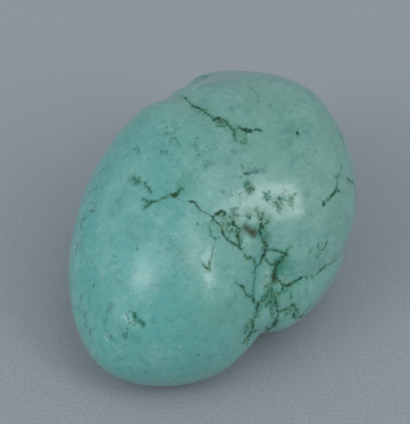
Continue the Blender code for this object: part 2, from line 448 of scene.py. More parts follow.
# The green spots on the brow of the saddle, above the web.
BROW = (
    stain(1.05, 1.35, (247.4, 183.4), (246.8, 187), (248.4, 191)),
    stain(1.1, 1.4, (249.4, 187), (251.6, 189)),
    dark(0.42, 0.8, (247.6, 182), (246, 187)),
    dark(0.55, 0.8, (246.4, 189.4), (250, 188), (253, 189.6)),
    dark(0.42, 0.7, (250.4, 191.4), (250.6, 194.2)),
    *freckles(0.4, 31, 8, (249, 187.6), (4.4, 6), 60),
    seam(0.55, 0.3, (247.4, 181.6), (248.4, 183), spurs=2),
    thread(0.8, 0.2, (244.4, 190.6), (241.6, 192.6), (239.4, 194.4)),
    thread(0.5, 0.14, (240.4, 194), (240.2, 199), (240.6, 206)),
    seam(0.5, 0.26, (264.2, 192.4), (264.8, 195.6), (265.8, 198.6), stain=0.7, spurs=2),
    seam(0.48, 0.28, (265, 193.6), (268, 194.4), (270, 196.8), (269.6, 199.6), stain=0.7, spurs=2),
    seam(0.55, 0.28, (266, 199.4), (268, 200.2), stain=0.7),
    knot(0.6, 0.52, (278.6, 197.6), (279.8, 200.2), stain=0.7, reach=0.8, spurs=2),
    seam(0.35, 0.3, (276, 199.4), (280, 200.4), (284, 200.6), (287.4, 201), stain=0.6, spurs=2),
    seam(0.55, 0.36, (275.2, 202.6), (277, 206), (278.8, 210.6), stain=0.7, reach=0.8, spurs=2),
    knot(0.65, 0.4, (278.4, 207), (279.6, 209.8), stain=0.6),
    knot(0.5, 0.46, (290.4, 197), (291.2, 199), stain=0.7, reach=0.8, spurs=2),
    seam(0.45, 0.36, (291.6, 200.6), (292.4, 203.6), (291.6, 206.4), stain=0.6, spurs=2),
    seam(0.45, 0.24, (292.6, 196.4), (296, 193.6), stain=0.5),
    smoke(1.6, 0.5, (244.6, 173.6), (248.6, 173.8)),
    dark(0.65, 0.46, (244.6, 173.8), (248.4, 174)),
    smoke(1.2, 0.44, (249, 173.4), (253, 172.2), (258, 171.8)),
    smoke(0.55, 0.9, (251, 169.6), (258, 170), (264, 171.4)),
    smoke(0.6, 0.5, (241, 165.4), (242.6, 168.4)),
    smoke(0.6, 0.4, (240.4, 176), (242, 177)),
    *freckles(0.3, 37, 7, (267, 196), (3.6, 4.4), 60),
    *freckles(0.3, 38, 8, (279, 204), (4, 6.4), 70),
    *freckles(0.3, 39, 7, (291.6, 200), (3.4, 7), 80),
    stain(0.8, 1.7, (267, 196)),
    stain(0.8, 1.9, (278.6, 199), (278, 206)),
    stain(0.75, 1.7, (291, 197), (292, 204)),
    *peppering(0.58, 5, 9, (284.6, 188.6), (3, 4), 60),
    *peppering(0.42, 6, 10, (224, 188), (12, 8), 80),
)

# The strand that runs down from the web into the valley, the ring, and the dark pocket where the lobes meet,
# with painted shade on the pocket's far wall.
POCKET = (
    seam(0.5, 0.46, (256.6, 208), (257.6, 212.4), (259.4, 216.6), (260.6, 220), stain=0.8, spurs=2),
    seam(0.4, 0.3, (259.6, 213.6), (262.6, 216.4), (264.4, 219), spurs=2),
    knot(1.1, 0.52, (261, 224), (260.8, 227.6)),
    seam(0.75, 0.4, (261.6, 226.4), (264.6, 224.8), (267.8, 221.6)),
    seam(0.8, 0.44, (260.2, 228), (259, 230.6), (260.2, 234)),
    seam(0.72, 0.4, (260.2, 234), (262.2, 238), (264.6, 241.6), (266.6, 245.6)),
    seam(0.85, 0.34, (266.6, 245.4), (268.6, 249.4)),
    seam(0.5, 0.26, (262.6, 229), (263.2, 234), (262.6, 238)),
    seam(0.6, 0.26, (262.4, 240), (264.4, 245), (264.8, 249)),
    stain(0.62, 2.4, (260, 214), (264, 219), (263, 226), (264, 236), (266, 243)),
    knot(1, 0.56, (265.4, 249.6), (264.4, 253.6), (262.6, 256.6)),
    seam(0.58, 0.4, (265.6, 251), (268.6, 249.8), (272.6, 249.6)),
    seam(0.62, 0.36, (272.6, 249.6), (277.6, 250.6), (282.4, 252.6)),
    knot(1.05, 0.54, (283.6, 253.2), (286, 254.6)),
    seam(0.5, 0.24, (286, 252.8), (288.6, 250), (291, 247.2)),
    seam(0.55, 0.24, (286.6, 254.6), (289.6, 256.4)),
    knot(0.5, 0.26, (272.8, 255), stain=0.2),
    seam(0.7, 0.28, (264.4, 255.4), (266.2, 260), (268.8, 263.4), (272.4, 264.8)),
    seam(0.6, 0.26, (272.4, 264.6), (275.4, 263.4), (278, 260.6)),
    seam(0.7, 0.62, (284.4, 255.4), (281.6, 259.4), (278.6, 262.8), stain=0.9, reach=1),
    seam(0.95, 0.52, (278.6, 262.8), (275.8, 266.6), (274.8, 271), stain=0.8),
    seam(1.2, 0.6, (274.8, 271), (275.4, 275), (276.4, 278.6), stain=0.7),
    knot(1.1, 0.54, (277, 279.6), (279, 281.4)),
    seam(0.55, 0.34, (279.6, 281.6), (283, 284.4), (286.6, 286.6)),
    seam(0.6, 0.34, (272.4, 268.6), (272.6, 272), (273.4, 275)),
    rust(0.3, 1, (273.4, 268), (273, 273)),
    rust(0.55, 0.8, (273, 274.6), (274, 280.6)),
    seam(0.8, 0.36, (273.2, 274), (273.4, 277.4), (274.4, 281)),
    # Partly the seam's own stain and partly painted shade, darkening the pocket.
    stain(0.8, 1.5, (285, 257), (280.6, 264), (277, 271)),
    stain(0.2, 2.2, (271, 251), (266, 257)),
    # Painted shade in the pocket, where the back lobe's wall is shaded.
    teal(0.8, 3.4, (283, 264), (280.6, 272), (283, 279)),
    teal(0.8, 4.5, (288, 268)),
    *freckles(0.4, 40, 14, (261, 221), (4.4, 12), 80),
    *freckles(0.4, 41, 12, (264, 245), (4.4, 12), 70),
    *freckles(0.4, 42, 12, (279, 260), (7, 7), 130),
    *freckles(0.4, 43, 10, (262, 254), (3.6, 7), 80),
)

# The seam in the crease between the back and the foot, with the hairlines above it.
HEEL_SEAM = (
    knot(1.15, 0.46, (287, 286), (289.4, 284.8)),
    rust(0.3, 0.8, (288.6, 284.8), (291, 285.6)),
    seam(0.58, 0.4, (290, 284.8), (293.4, 282.4), (297, 280.4), stain=0.9),
    knot(0.78, 0.44, (297.4, 280.2), (301, 278)),
    seam(0.6, 0.32, (301, 278), (303.6, 277), (307.6, 277.6)),
    seam(0.6, 0.28, (307.6, 277.6), (312.4, 276), (316.4, 274.2), (319.4, 271.8)),
    seam(0.85, 0.34, (319.4, 271.8), (321.6, 268.6), (325.6, 265.4)),
    seam(0.55, 0.22, (325.6, 267), (330.4, 264), (333.6, 261.4), (336, 260), (340, 255)),
    thread(0.75, 0.28, (326, 242.4), (325.6, 246), (322, 250.4), (319.4, 254.6), (317, 259)),
    thread(0.4, 0.24, (322.4, 243), (319.6, 249), (318, 254)),
    thread(0.5, 0.26, (315, 243), (311.4, 250), (309, 257), (308.4, 262)),
    smoke(0.7, 0.5, (326.4, 242.4), (325, 246)),
    stain(0.55, 1.8, (292, 286), (299, 283)),
    seam(0.35, 0.24, (290.4, 288), (291.4, 293), (291, 299), stain=0.6),
    *peppering(0.58, 7, 12, (318, 250), (10, 12), 115),
)

# The strands that run down both sides of the valley to the notch at the ground.
VALLEY_STRANDS = (
    seam(0.7, 0.28, (243.6, 252.6), (245.8, 257.4), (247, 259)),
    seam(0.6, 0.28, (247, 258.6), (250.4, 257.6), (253.6, 258.6), (255, 262)),
    seam(0.7, 0.26, (262, 256.6), (261, 261.4), (258.4, 264.8), (256, 266.8)),
    knot(0.8, 0.36, (256, 267), (254.8, 270)),
    seam(0.55, 0.26, (254.6, 270), (254.2, 277), (253.6, 285), (254, 293), spurs=0.9),
    seam(0.75, 0.28, (236, 282.8), (237.6, 284.6), (241, 285.6), (243.6, 287.6)),
    seam(0.7, 0.28, (243.6, 287.6), (244.8, 291.4), (246.8, 295.6), (251.4, 296.4)),
    knot(0.7, 0.44, (253, 294.6), (253.2, 297.4)),
    knot(0.9, 0.46, (253, 298.4), (253.8, 302)),
    rust(0.6, 0.8, (252.8, 295.6), (253.4, 300)),
    seam(0.6, 0.3, (254, 302), (257.2, 303.4), (258.6, 306)),
    rust(0.6, 0.8, (258, 304.4)),
    seam(0.68, 0.56, (258, 306), (257, 310), (255.6, 314.6), (254, 318.6), stain=0.8),
    seam(0.68, 0.46, (254, 318.6), (252.8, 323), (253, 327.6), (252.6, 330.6), stain=0.8),
    seam(0.5, 0.32, (251, 321), (249.8, 326), (247.6, 331)),
    knot(0.9, 0.34, (252.6, 331)),
    seam(0.8, 0.3, (253, 331.4), (256.4, 330.6), (260.4, 330.2)),
    seam(0.7, 0.48, (252.2, 332), (248.6, 335.6), (245.6, 339.6), (243.4, 343), stain=0.9),
    seam(0.6, 0.26, (249.6, 337.6), (248, 341), (247.4, 345), stain=0.8),
    chalk_and_painted_light(0.65, 0.7, (249.4, 334.6), (247, 340), (249.6, 344)),
    seam(0.6, 0.32, (246.8, 324.6), (245.4, 329), (244.8, 333)),
    seam(0.55, 0.24, (260, 303), (264.4, 299.4), (268, 294), (271, 287.6), stain=0.8, spurs=1.2),
    seam(0.66, 0.34, (272.4, 282), (271, 286.4), (269.6, 290), stain=0.8),
    seam(0.5, 0.28, (269.6, 290), (267, 295), (262, 300.6), (258.8, 304.4), stain=0.9, spurs=1.5),
    seam(0.45, 0.26, (271, 291), (271.4, 296), (270, 302), (266, 306), stain=0.9, spurs=1.5),
    knot(0.8, 0.34, (266.2, 276.6), stain=0.3),
    seam(0.45, 0.22, (268.4, 284.6), (268.8, 289), (266.6, 293.4)),
    seam(0.6, 0.3, (281.6, 283), (283.4, 286.6), (282.4, 291), (279, 294), (275.2, 293.6)),
    seam(0.6, 0.26, (275.2, 293.6), (272.6, 291), (272.2, 287.4)),
    seam(0.5, 0.24, (274.6, 283.2), (278, 282.2), (281.6, 283)),
    stain(0.55, 2, (277, 288)),
    stain(0.36, 2.2, (269, 290), (267, 298), (261, 303), (258, 309)),
    moss(0.65, 4, (272, 294), (284, 302), (292, 312)),
    moss(0.6, 4, (256, 308), (250, 334)),
    moss(0.95, 1.8, (267.4, 266), (265, 288)),
    stain(0.2, 2, (267, 268), (265, 288)),
    # Painted shade on the pocket's far wall; the stain also makes it matt.
    stain(0.6, 1.4, (282.6, 274), (282.6, 286)),
    moss(0.8, 1.4, (282.4, 272), (282.6, 284)),
    seam(0.3, 0.55, (271, 292), (273.6, 298), (272, 306), spurs=1),
    seam(0.3, 0.55, (262, 302), (266, 296), (270, 290), spurs=1),
    seam(0.3, 0.5, (256, 316), (259, 308), (262, 303), spurs=1),
    seam(0.45, 0.24, (284, 283), (285.4, 287), (286.4, 291)),
    seam(0.62, 0.46, (274.4, 294.6), (275.4, 299), (276, 302.6), spurs=1.2),
    seam(0.62, 0.4, (276, 302.6), (276.8, 306.6), (277.4, 310), spurs=1.2),
    knot(0.85, 0.56, (277, 310.6), (278.4, 313)),
    seam(0.7, 0.5, (278, 313.6), (277.4, 317.4), (276.6, 320)),
    knot(0.8, 0.75, (276.2, 321), (274, 324.6), reach=0.9),
    seam(0.65, 0.56, (273.8, 325), (270, 328.4), (266.4, 331.4)),
    seam(0.45, 0.24, (271, 297), (270.6, 306), (272, 314), (274, 320), stain=0.7),
    stain(0.3, 2, (276, 300), (277, 312), (273, 323)),
    seam(0.6, 0.3, (279, 312.4), (283, 310), (287.4, 308.8), (290.6, 306)),
    knot(0.78, 0.5, (291.6, 304.8), (294.4, 305.6)),
    seam(0.6, 0.4, (294.6, 306), (295.4, 309), (294.4, 312)),
    knot(0.75, 0.56, (293.8, 313.4), (293.6, 316)),
    seam(0.55, 0.4, (293.8, 316.6), (296, 318.8), (299.4, 317), (302.6, 315.6)),
    seam(0.5, 0.24, (289.4, 308.4), (290, 312.6)),
    seam(0.4, 0.22, (285, 316.4), (289, 314.4), (293, 313.4)),
    stain(0.4, 1.8, (294, 306), (296.6, 313), (298, 318)),
    moss(0.5, 2.6, (300, 308)),
    chalk_and_painted_light(0.45, 2, (284, 300), (285, 306)),
    chalk_and_painted_light(0.45, 2.4, (266, 312), (264, 322)),
    chalk_and_painted_light(0.4, 1.4, (286, 313)),
    knot(0.65, 0.52, (309.4, 306.4), (310.8, 304.8)),
    seam(0.45, 0.22, (308.4, 308), (306, 310.4)),
    *freckles(0.4, 44, 16, (267, 292), (6, 12), 115),
    *freckles(0.4, 45, 12, (276, 306), (4, 14), 85),
    *freckles(0.4, 46, 10, (254, 315), (5, 16), 100),
    *freckles(0.4, 47, 10, (294, 310), (6, 8), 80),
)

# The seam down the right-hand edge, the scattered marks on the back, and a painted highlight along the upper
# left crest.
BACK_MARKS = (
    seam(0.5, 0.24, (336, 123), (338.4, 128), (340.4, 133), stain=0.3),
    seam(0.75, 0.34, (340.4, 133), (342, 138), (343.6, 143.6), (344.6, 149), stain=0.3),
    knot(0.9, 0.34, (344.6, 149), stain=0.3),
    seam(0.55, 0.32, (344.6, 153.6), (345.6, 156.4), (347, 159), stain=0.3),
    knot(0.8, 0.42, (341.8, 166), (341.4, 169), stain=0.3),
    seam(0.42, 0.3, (340, 172), (337.8, 177), (337.6, 183), (336.8, 187.4), stain=0.6),
    seam(0.8, 0.34, (336.8, 187.6), (335.6, 191)),
    knot(1.1, 0.5, (335, 192), (333, 194.6)),
    seam(0.9, 0.38, (333, 194.6), (330.4, 197)),
    seam(0.35, 0.3, (329.6, 199), (326.4, 201), stain=0.8),
    knot(1.1, 0.56, (323.6, 202.4), (324, 205)),
    knot(1.1, 0.44, (297.4, 132.6), (297.8, 133.8), stain=0.2, groove=0.08, spurs=0),
    stain(0.25, 1.9, (295.4, 132.4)),
    knot(0.75, 0.32, (296.8, 157.7), stain=0.3, spurs=0),
    teal(0.85, 0.45, (247.6, 84.6), (251, 88.4), (255.6, 92.4), (258, 98), (258.4, 103)),
    teal(0.55, 0.5, (249, 88.6), (251.6, 89)),
    teal(1.2, 1.6, (196, 83), (206, 78.6)),
    # Painted highlight along the crest of the bulge on the upper left.
    chalk_and_painted_light(0.7, 0.7, (190, 89.4), (197, 85.8), (206, 81.8)),
    teal(0.65, 1.1, (231, 109)),
    teal(0.6, 1.1, (226, 147), (230, 149.4), (234.6, 152.4)),
    teal(0.7, 1.4, (279.6, 141.4), (284.6, 147.4)),
    smoke(0.62, 0.7, (206, 166), (209.6, 164.8)),
    smoke(0.42, 1.1, (204, 168), (208, 162.8), (213, 164)),
    *peppering(0.4, 8, 14, (209, 165), (7, 4), -25),
    *peppering(0.28, 9, 8, (308, 144), (9, 5), 40),
)

# The peppered clouds high on the front, and the chip, scratches and small marks lower down.
FRONT_MARKS = (
    *peppering(0.42, 10, 70, (169, 134), (13, 11), 15),
    *peppering(0.42, 11, 34, (163, 150), (8, 10), 80),
    *peppering(0.4, 12, 24, (195, 147), (14, 5), 8),
    *peppering(0.42, 13, 14, (140, 150), (8, 9), 80),
    smoke(0.28, 2.6, (163, 130), (170, 136)),
    smoke(0.25, 2, (163, 152)),
    smoke(0.85, 0.42, (164.6, 132.6), (168, 133.8)),
    smoke(0.65, 0.46, (176, 140.4), (180.4, 145.4)),
    smoke(0.8, 0.4, (160.6, 154.6), (162.4, 151.4), (166, 151.6)),
    smoke(0.85, 0.55, (138, 147.6), (138.8, 151.4)),
    chalk_and_painted_light(0.4, 0.8, (198, 148), (203, 146), (206, 148)),
    chalk_and_painted_light(0.35, 1.1, (168, 142), (171, 138)),
    knot(0.62, 0.48, (134.2, 313.6), (134.8, 317.4), stain=1.3, groove=0.1, spurs=0),
    seam(0.45, 0.36, (135.6, 317.4), (138.4, 320), (141, 322), (143.6, 324.4), stain=0.9),
    stain(0.95, 1.3, (135.4, 320.4), (139, 322)),
    chalk_and_painted_light(0.95, 1.2, (122.6, 316.4), (127, 318.4), (131, 321.4), (134, 325)),
    chalk_and_painted_light(0.8, 0.7, (130.6, 315.6), (131.4, 319)),
    chalk_and_painted_light(0.65, 0.6, (136.4, 325.6), (140, 326.4)),
    smoke(0.95, 0.3, (129.6, 311.6), (131.4, 311)),
    smoke(0.8, 0.36, (126, 313.6), (127.4, 316)),
    smoke(0.85, 0.3, (127.6, 318), (129, 319.6)),
    smoke(0.9, 0.3, (128.6, 322.4), (131, 323.4)),
    smoke(0.8, 0.3, (133, 324.8), (135.4, 325.6)),
    smoke(0.85, 0.4, (127.6, 328.6), (126.6, 334), (125, 338)),
    smoke(0.75, 0.4, (124.4, 333.6), (122, 336)),
    teal(0.75, 1.3, (105, 314), (105.6, 322)),
    teal(0.7, 0.7, (107.4, 311), (112, 305)),
    seam(0.55, 0.24, (104, 328.6), (106.6, 331.6), (109.6, 334.6), stain=0.2, groove=0.05, stray=0.04),
    seam(0.75, 0.28, (109.6, 334.8), (112, 338), (114, 340), stain=0.2, groove=0.05, stray=0.04),
    seam(0.6, 0.2, (106, 335.4), (108.4, 338), (111, 340.6), stain=0.1, groove=0.06, stray=0.04),
    chalk_and_painted_light(0.65, 0.4, (105, 332.6), (108, 335.4), (110.6, 338)),
    chalk_and_painted_light(0.8, 0.36, (104.4, 336.6), (107.6, 340)),
    smoke(0.6, 0.4, (114.6, 341), (118.6, 342.6)),
    smoke(0.95, 0.42, (80.4, 295.6), (81.2, 302.6)),
    smoke(0.7, 0.36, (78.6, 303), (79.4, 309), (80.6, 312.4)),
    smoke(0.8, 0.62, (83.6, 311), (84.4, 315.4), (85, 319)),
    smoke(0.8, 0.5, (86, 322.6), (86.6, 327.4)),
    smoke(0.55, 0.55, (90, 330.6), (90.4, 337)),
    smoke(0.75, 0.6, (76.6, 243.6), (76.2, 252.6)),
    smoke(0.7, 0.46, (81.4, 222.6), (81, 229.4)),
    smoke(0.55, 0.46, (84.6, 233.6), (84, 238)),
    chalk_and_painted_light(0.5, 1, (74.6, 290), (76, 308), (78.4, 324)),
    knot(0.7, 0.34, (91.4, 263.4), stain=0.2, spurs=0),
    smoke(0.65, 0.46, (94.6, 268.6), (96, 270.4)),
    knot(0.7, 0.34, (180.2, 251.6), stain=0.3, spurs=0),
    knot(0.65, 0.38, (197.6, 222.6), (197.8, 224), stain=0.1, spurs=0),
    teal(0.6, 2.4, (112, 240)),
    teal(0.7, 1.1, (135.5, 235.4)),
    teal(0.6, 1.1, (228.4, 277.6)),
    *peppering(0.42, 14, 10, (108, 262), (14, 12), 60),
    *peppering(0.34, 15, 7, (160, 250), (20, 14), 70),
)

# What the camera doesn't see, in degrees round the heart. The waist's seam goes down the far side and the
# heel's runs on round the right. The back, the left flank and the underside have small webs and spots.
HIDDEN_MARKS = (
    knot(1.3, 0.55, (-153, 42.6), (-152, 41)),
    seam(0.9, 0.36, (-152, 42), (-149, 33), (-148, 24), (-146.6, 16)),
    seam(0.75, 0.28, (-146.6, 16), (-144, 8), (-147, 0), (-145.4, -8)),
    knot(1.3, 0.6, (-146, -8), (-146.6, -11)),
    seam(0.85, 0.4, (-146.6, -11), (-148, -20), (-153, -29), (-157, -37)),
    seam(0.6, 0.26, (-157, -37), (-166, -48), (-182, -58), (-210, -66)),
    seam(0.65, 0.26, (-148, 24), (-140, 21), (-134, 22)),
    seam(0.6, 0.24, (-144, 8), (-137, 9), (-131, 5), (-126, 6)),
    stain(0.55, 2.6, (-151, 37), (-148, 26), (-145, 6), (-147, -12)),
    rust(0.95, 1.1, (-145, 2), (-147, -3)),
    seam(0.8, 0.3, (153, 17), (149, 8), (147, -2), (149, -10)),
    knot(1.3, 0.6, (148, -4), (149, -8)),
    seam(0.65, 0.26, (149, -10), (153, -20), (161, -29), (168, -35)),
    seam(0.6, 0.24, (147, -2), (139, -1), (132, -6), (126, -5)),
    seam(0.5, 0.24, (153, 17), (160, 22), (164, 29)),
    seam(0.7, 0.3, (170, 18), (175, 14), (182, 15), (186, 10)),
    knot(1.3, 0.5, (175, 14), (177, 13)),
    seam(0.6, 0.24, (175, 14), (173, 7), (176, 1), (172, -6)),
    seam(0.5, 0.22, (182, 15), (184, 22), (179, 27)),
    stain(0.5, 2.6, (174, 12), (178, 8)),
    seam(0.8, 0.32, (99, -17.5), (106, -20), (113, -24), (121, -27)),
    knot(1.3, 0.5, (106, -20), (109, -21.6)),
    seam(0.6, 0.26, (121, -27), (131, -33), (141, -42), (146, -52)),
    stain(0.55, 2.2, (101, -18), (112, -23)),
    seam(0.6, 0.24, (92, 22), (95, 16), (93, 9)),
    seam(0.7, 0.3, (112, 12), (117, 9), (121, 11), (126, 7)),
    knot(1.3, 0.44, (117, 9)),
    thread(0.8, 0.22, (117, 9), (115, 2), (118, -4), (114, -10)),
    knot(1.3, 0.5, (107, -2)),
    seam(0.6, 0.26, (128, 20), (133, 16), (140, 17)),
    seam(0.75, 0.3, (-92, 10), (-96, 7), (-101, 8), (-105, 4)),
    knot(1.3, 0.55, (-96, 7), (-98, 7.4)),
    seam(0.55, 0.24, (-101, 8), (-102, 15), (-107, 20)),
    thread(0.9, 0.24, (-105, 4), (-108, -4), (-114, -9), (-116, -17)),
    seam(0.6, 0.28, (-118, 32), (-122, 27), (-128, 28)),
    knot(1.3, 0.4, (-72, -18)),
    seam(0.6, 0.26, (-62, -20), (-66, -26), (-64, -33)),
    stain(0.5, 2.4, (-97, 8), (-103, 5)),
    rust(0.9, 1.1, (-116, -18), (-119, -21)),
    chalk_and_painted_light(0.8, 1.4, (-84, -6), (-87, -9)),
    teal(0.5, 8, (-110, 22)),
    teal(0.5, 8, (-160, 4)),
    teal(0.45, 9, (125, 24)),
    teal(0.45, 7, (170, -20)),
    teal(0.45, 8, (-80, -22)),
    seam(0.6, 0.26, (24, -38), (22, -50), (28, -62), (60, -72)),
    seam(0.55, 0.26, (-40, -58), (-60, -64), (-90, -60), (-110, -66)),
    knot(1.3, 0.6, (100, -70), (120, -74)),
    *peppering(0.58, 21, 22, (-128, 12), (9, 12), 70),
    *peppering(0.58, 22, 16, (-82, 20), (8, 10), 20),
    *peppering(0.58, 23, 16, (160, -12), (9, 9), 60),
    *peppering(0.58, 24, 14, (122, 17), (9, 7), 100),
    *peppering(0.58, 25, 14, (-172, 28), (12, 7), 30),
)

# Clouds of deeper and of paler colour, each as wide as several seams' spacing. Among the pale ones are painted
# highlights on both lobes, and painted light along the lower left edge and below the pocket.
CLOUDS_AND_PAINTED_LIGHT = (
    teal(0.55, 6.5, (300, 134), (302, 150)),
    teal(0.45, 5, (316, 176), (322, 184)),
    teal(0.5, 5, (128, 220), (134, 230)),
    teal(0.4, 4.5, (192, 176), (196, 188)),
    stain(0.15, 3.4, (289, 139), (297, 148)),
    # Painted highlights on the back lobe, where the right softbox is reflected.
    chalk_and_painted_light(0.35, 5, (268, 222), (276, 232)),
    chalk_and_painted_light(0.3, 5, (286, 186)),
    # Painted light below the left highlight on the front lobe.
    chalk_and_painted_light(0.25, 7, (145, 300), (130, 330)),
    # Painted bounce light along the lower left edge, where light from the floor falls.
    chalk_and_painted_light(0.25, 5.5, (88, 310), (96, 336), (112, 352)),
    moss(0.35, 6, (172, 282), (182, 330)),
    moss(0.35, 5.5, (203, 288), (214, 320)),
    teal(0.45, 4, (306, 210), (308, 190)),
    teal(0.35, 3.6, (114, 212), (126, 190)),
    chalk_and_painted_light(0.3, 5, (170, 250), (180, 232)),
    chalk_and_painted_light(0.35, 4, (262, 258), (276, 232)),
    # Painted bounce light along the left edge.
    chalk_and_painted_light(0.4, 2.6, (77, 236), (77, 262), (80, 300)),
    # Painted light that lifts the crease's shade below the pocket.
    chalk_and_painted_light(0.45, 4, (274, 312), (290, 314)),
    # Painted highlight that draws out the front lobe's right-hand highlight.
    chalk_and_painted_light(0.4, 3, (203, 262), (209, 284), (212, 300)),
)

MARKS = (
    *TOP_SEAM,
    *FRONT_SEAMS,
    *WEB,
    *BROW,
    *POCKET,
    *HEEL_SEAM,
    *VALLEY_STRANDS,
    *BACK_MARKS,
    *FRONT_MARKS,
    *(replace(mark, aim=Aim.HEART) for mark in HIDDEN_MARKS),
    *CLOUDS_AND_PAINTED_LIGHT,
)

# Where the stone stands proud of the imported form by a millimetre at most.
SWELLINGS = (
    Hollow((310, 99), -1.00, 7.0),
    Hollow((286, 321), -0.95, 4.6),
    Hollow((312, 297), -0.45, 4.5),
    Hollow((240, 352), -0.50, 5.5),
    Hollow((104, 358), -0.60, 5.0),
    Hollow((160, 108), -0.45, 4.5),
)

# The chip low on the front with its raised lip, a dent beside the hanging thread, and one in the rust patch.
HOLLOWS = (
    Hollow((135, 317.6), 0.12, 0.55),
    Hollow((127, 321), -0.10, 1.0),
    Hollow((198, 243), 0.06, 1.8),
    Hollow((252, 231), 0.10, 0.8),
)


@dataclass(frozen=True)
class Pigment:
    """A colour in the stone, and how it breaks up.

    Attributes:
        layer: The attribute that says where it is.
        colour: Its colour.
        second: The colour that it turns to in places.
        grain: The size of what breaks it up.
        ragged: How much that thins or thickens it, as a share of what is painted.
        begins: The attribute's value where it starts to show.
        full: The attribute's value where it shows most.
        most: The most of what is under it that it hides.
        roughness: How rough the stone is there.
    """

    layer: Layer
    colour: str
    second: str
    grain: float
    ragged: float
    begins: float
    full: float
    most: float
    roughness: float


@dataclass(frozen=True)
class Cloud:
    """Soft clouds in the stone's own colour, all over it.

    Attributes:
        colour: Their colour.
        size: How wide they are.
        detail: How many finer patterns break them up.
        begins: The pattern's value where they start to show.
        full: The pattern's value where they show most.
        most: The most of what is under them that they hide.
    """

    colour: str
    size: float
    detail: float
    begins: float
    full: float
    most: float


PALE_TURQUOISE = "#93c2b8"
DEEP_TURQUOISE = "#488a82"
DARK_SPECK = "#3f7268"


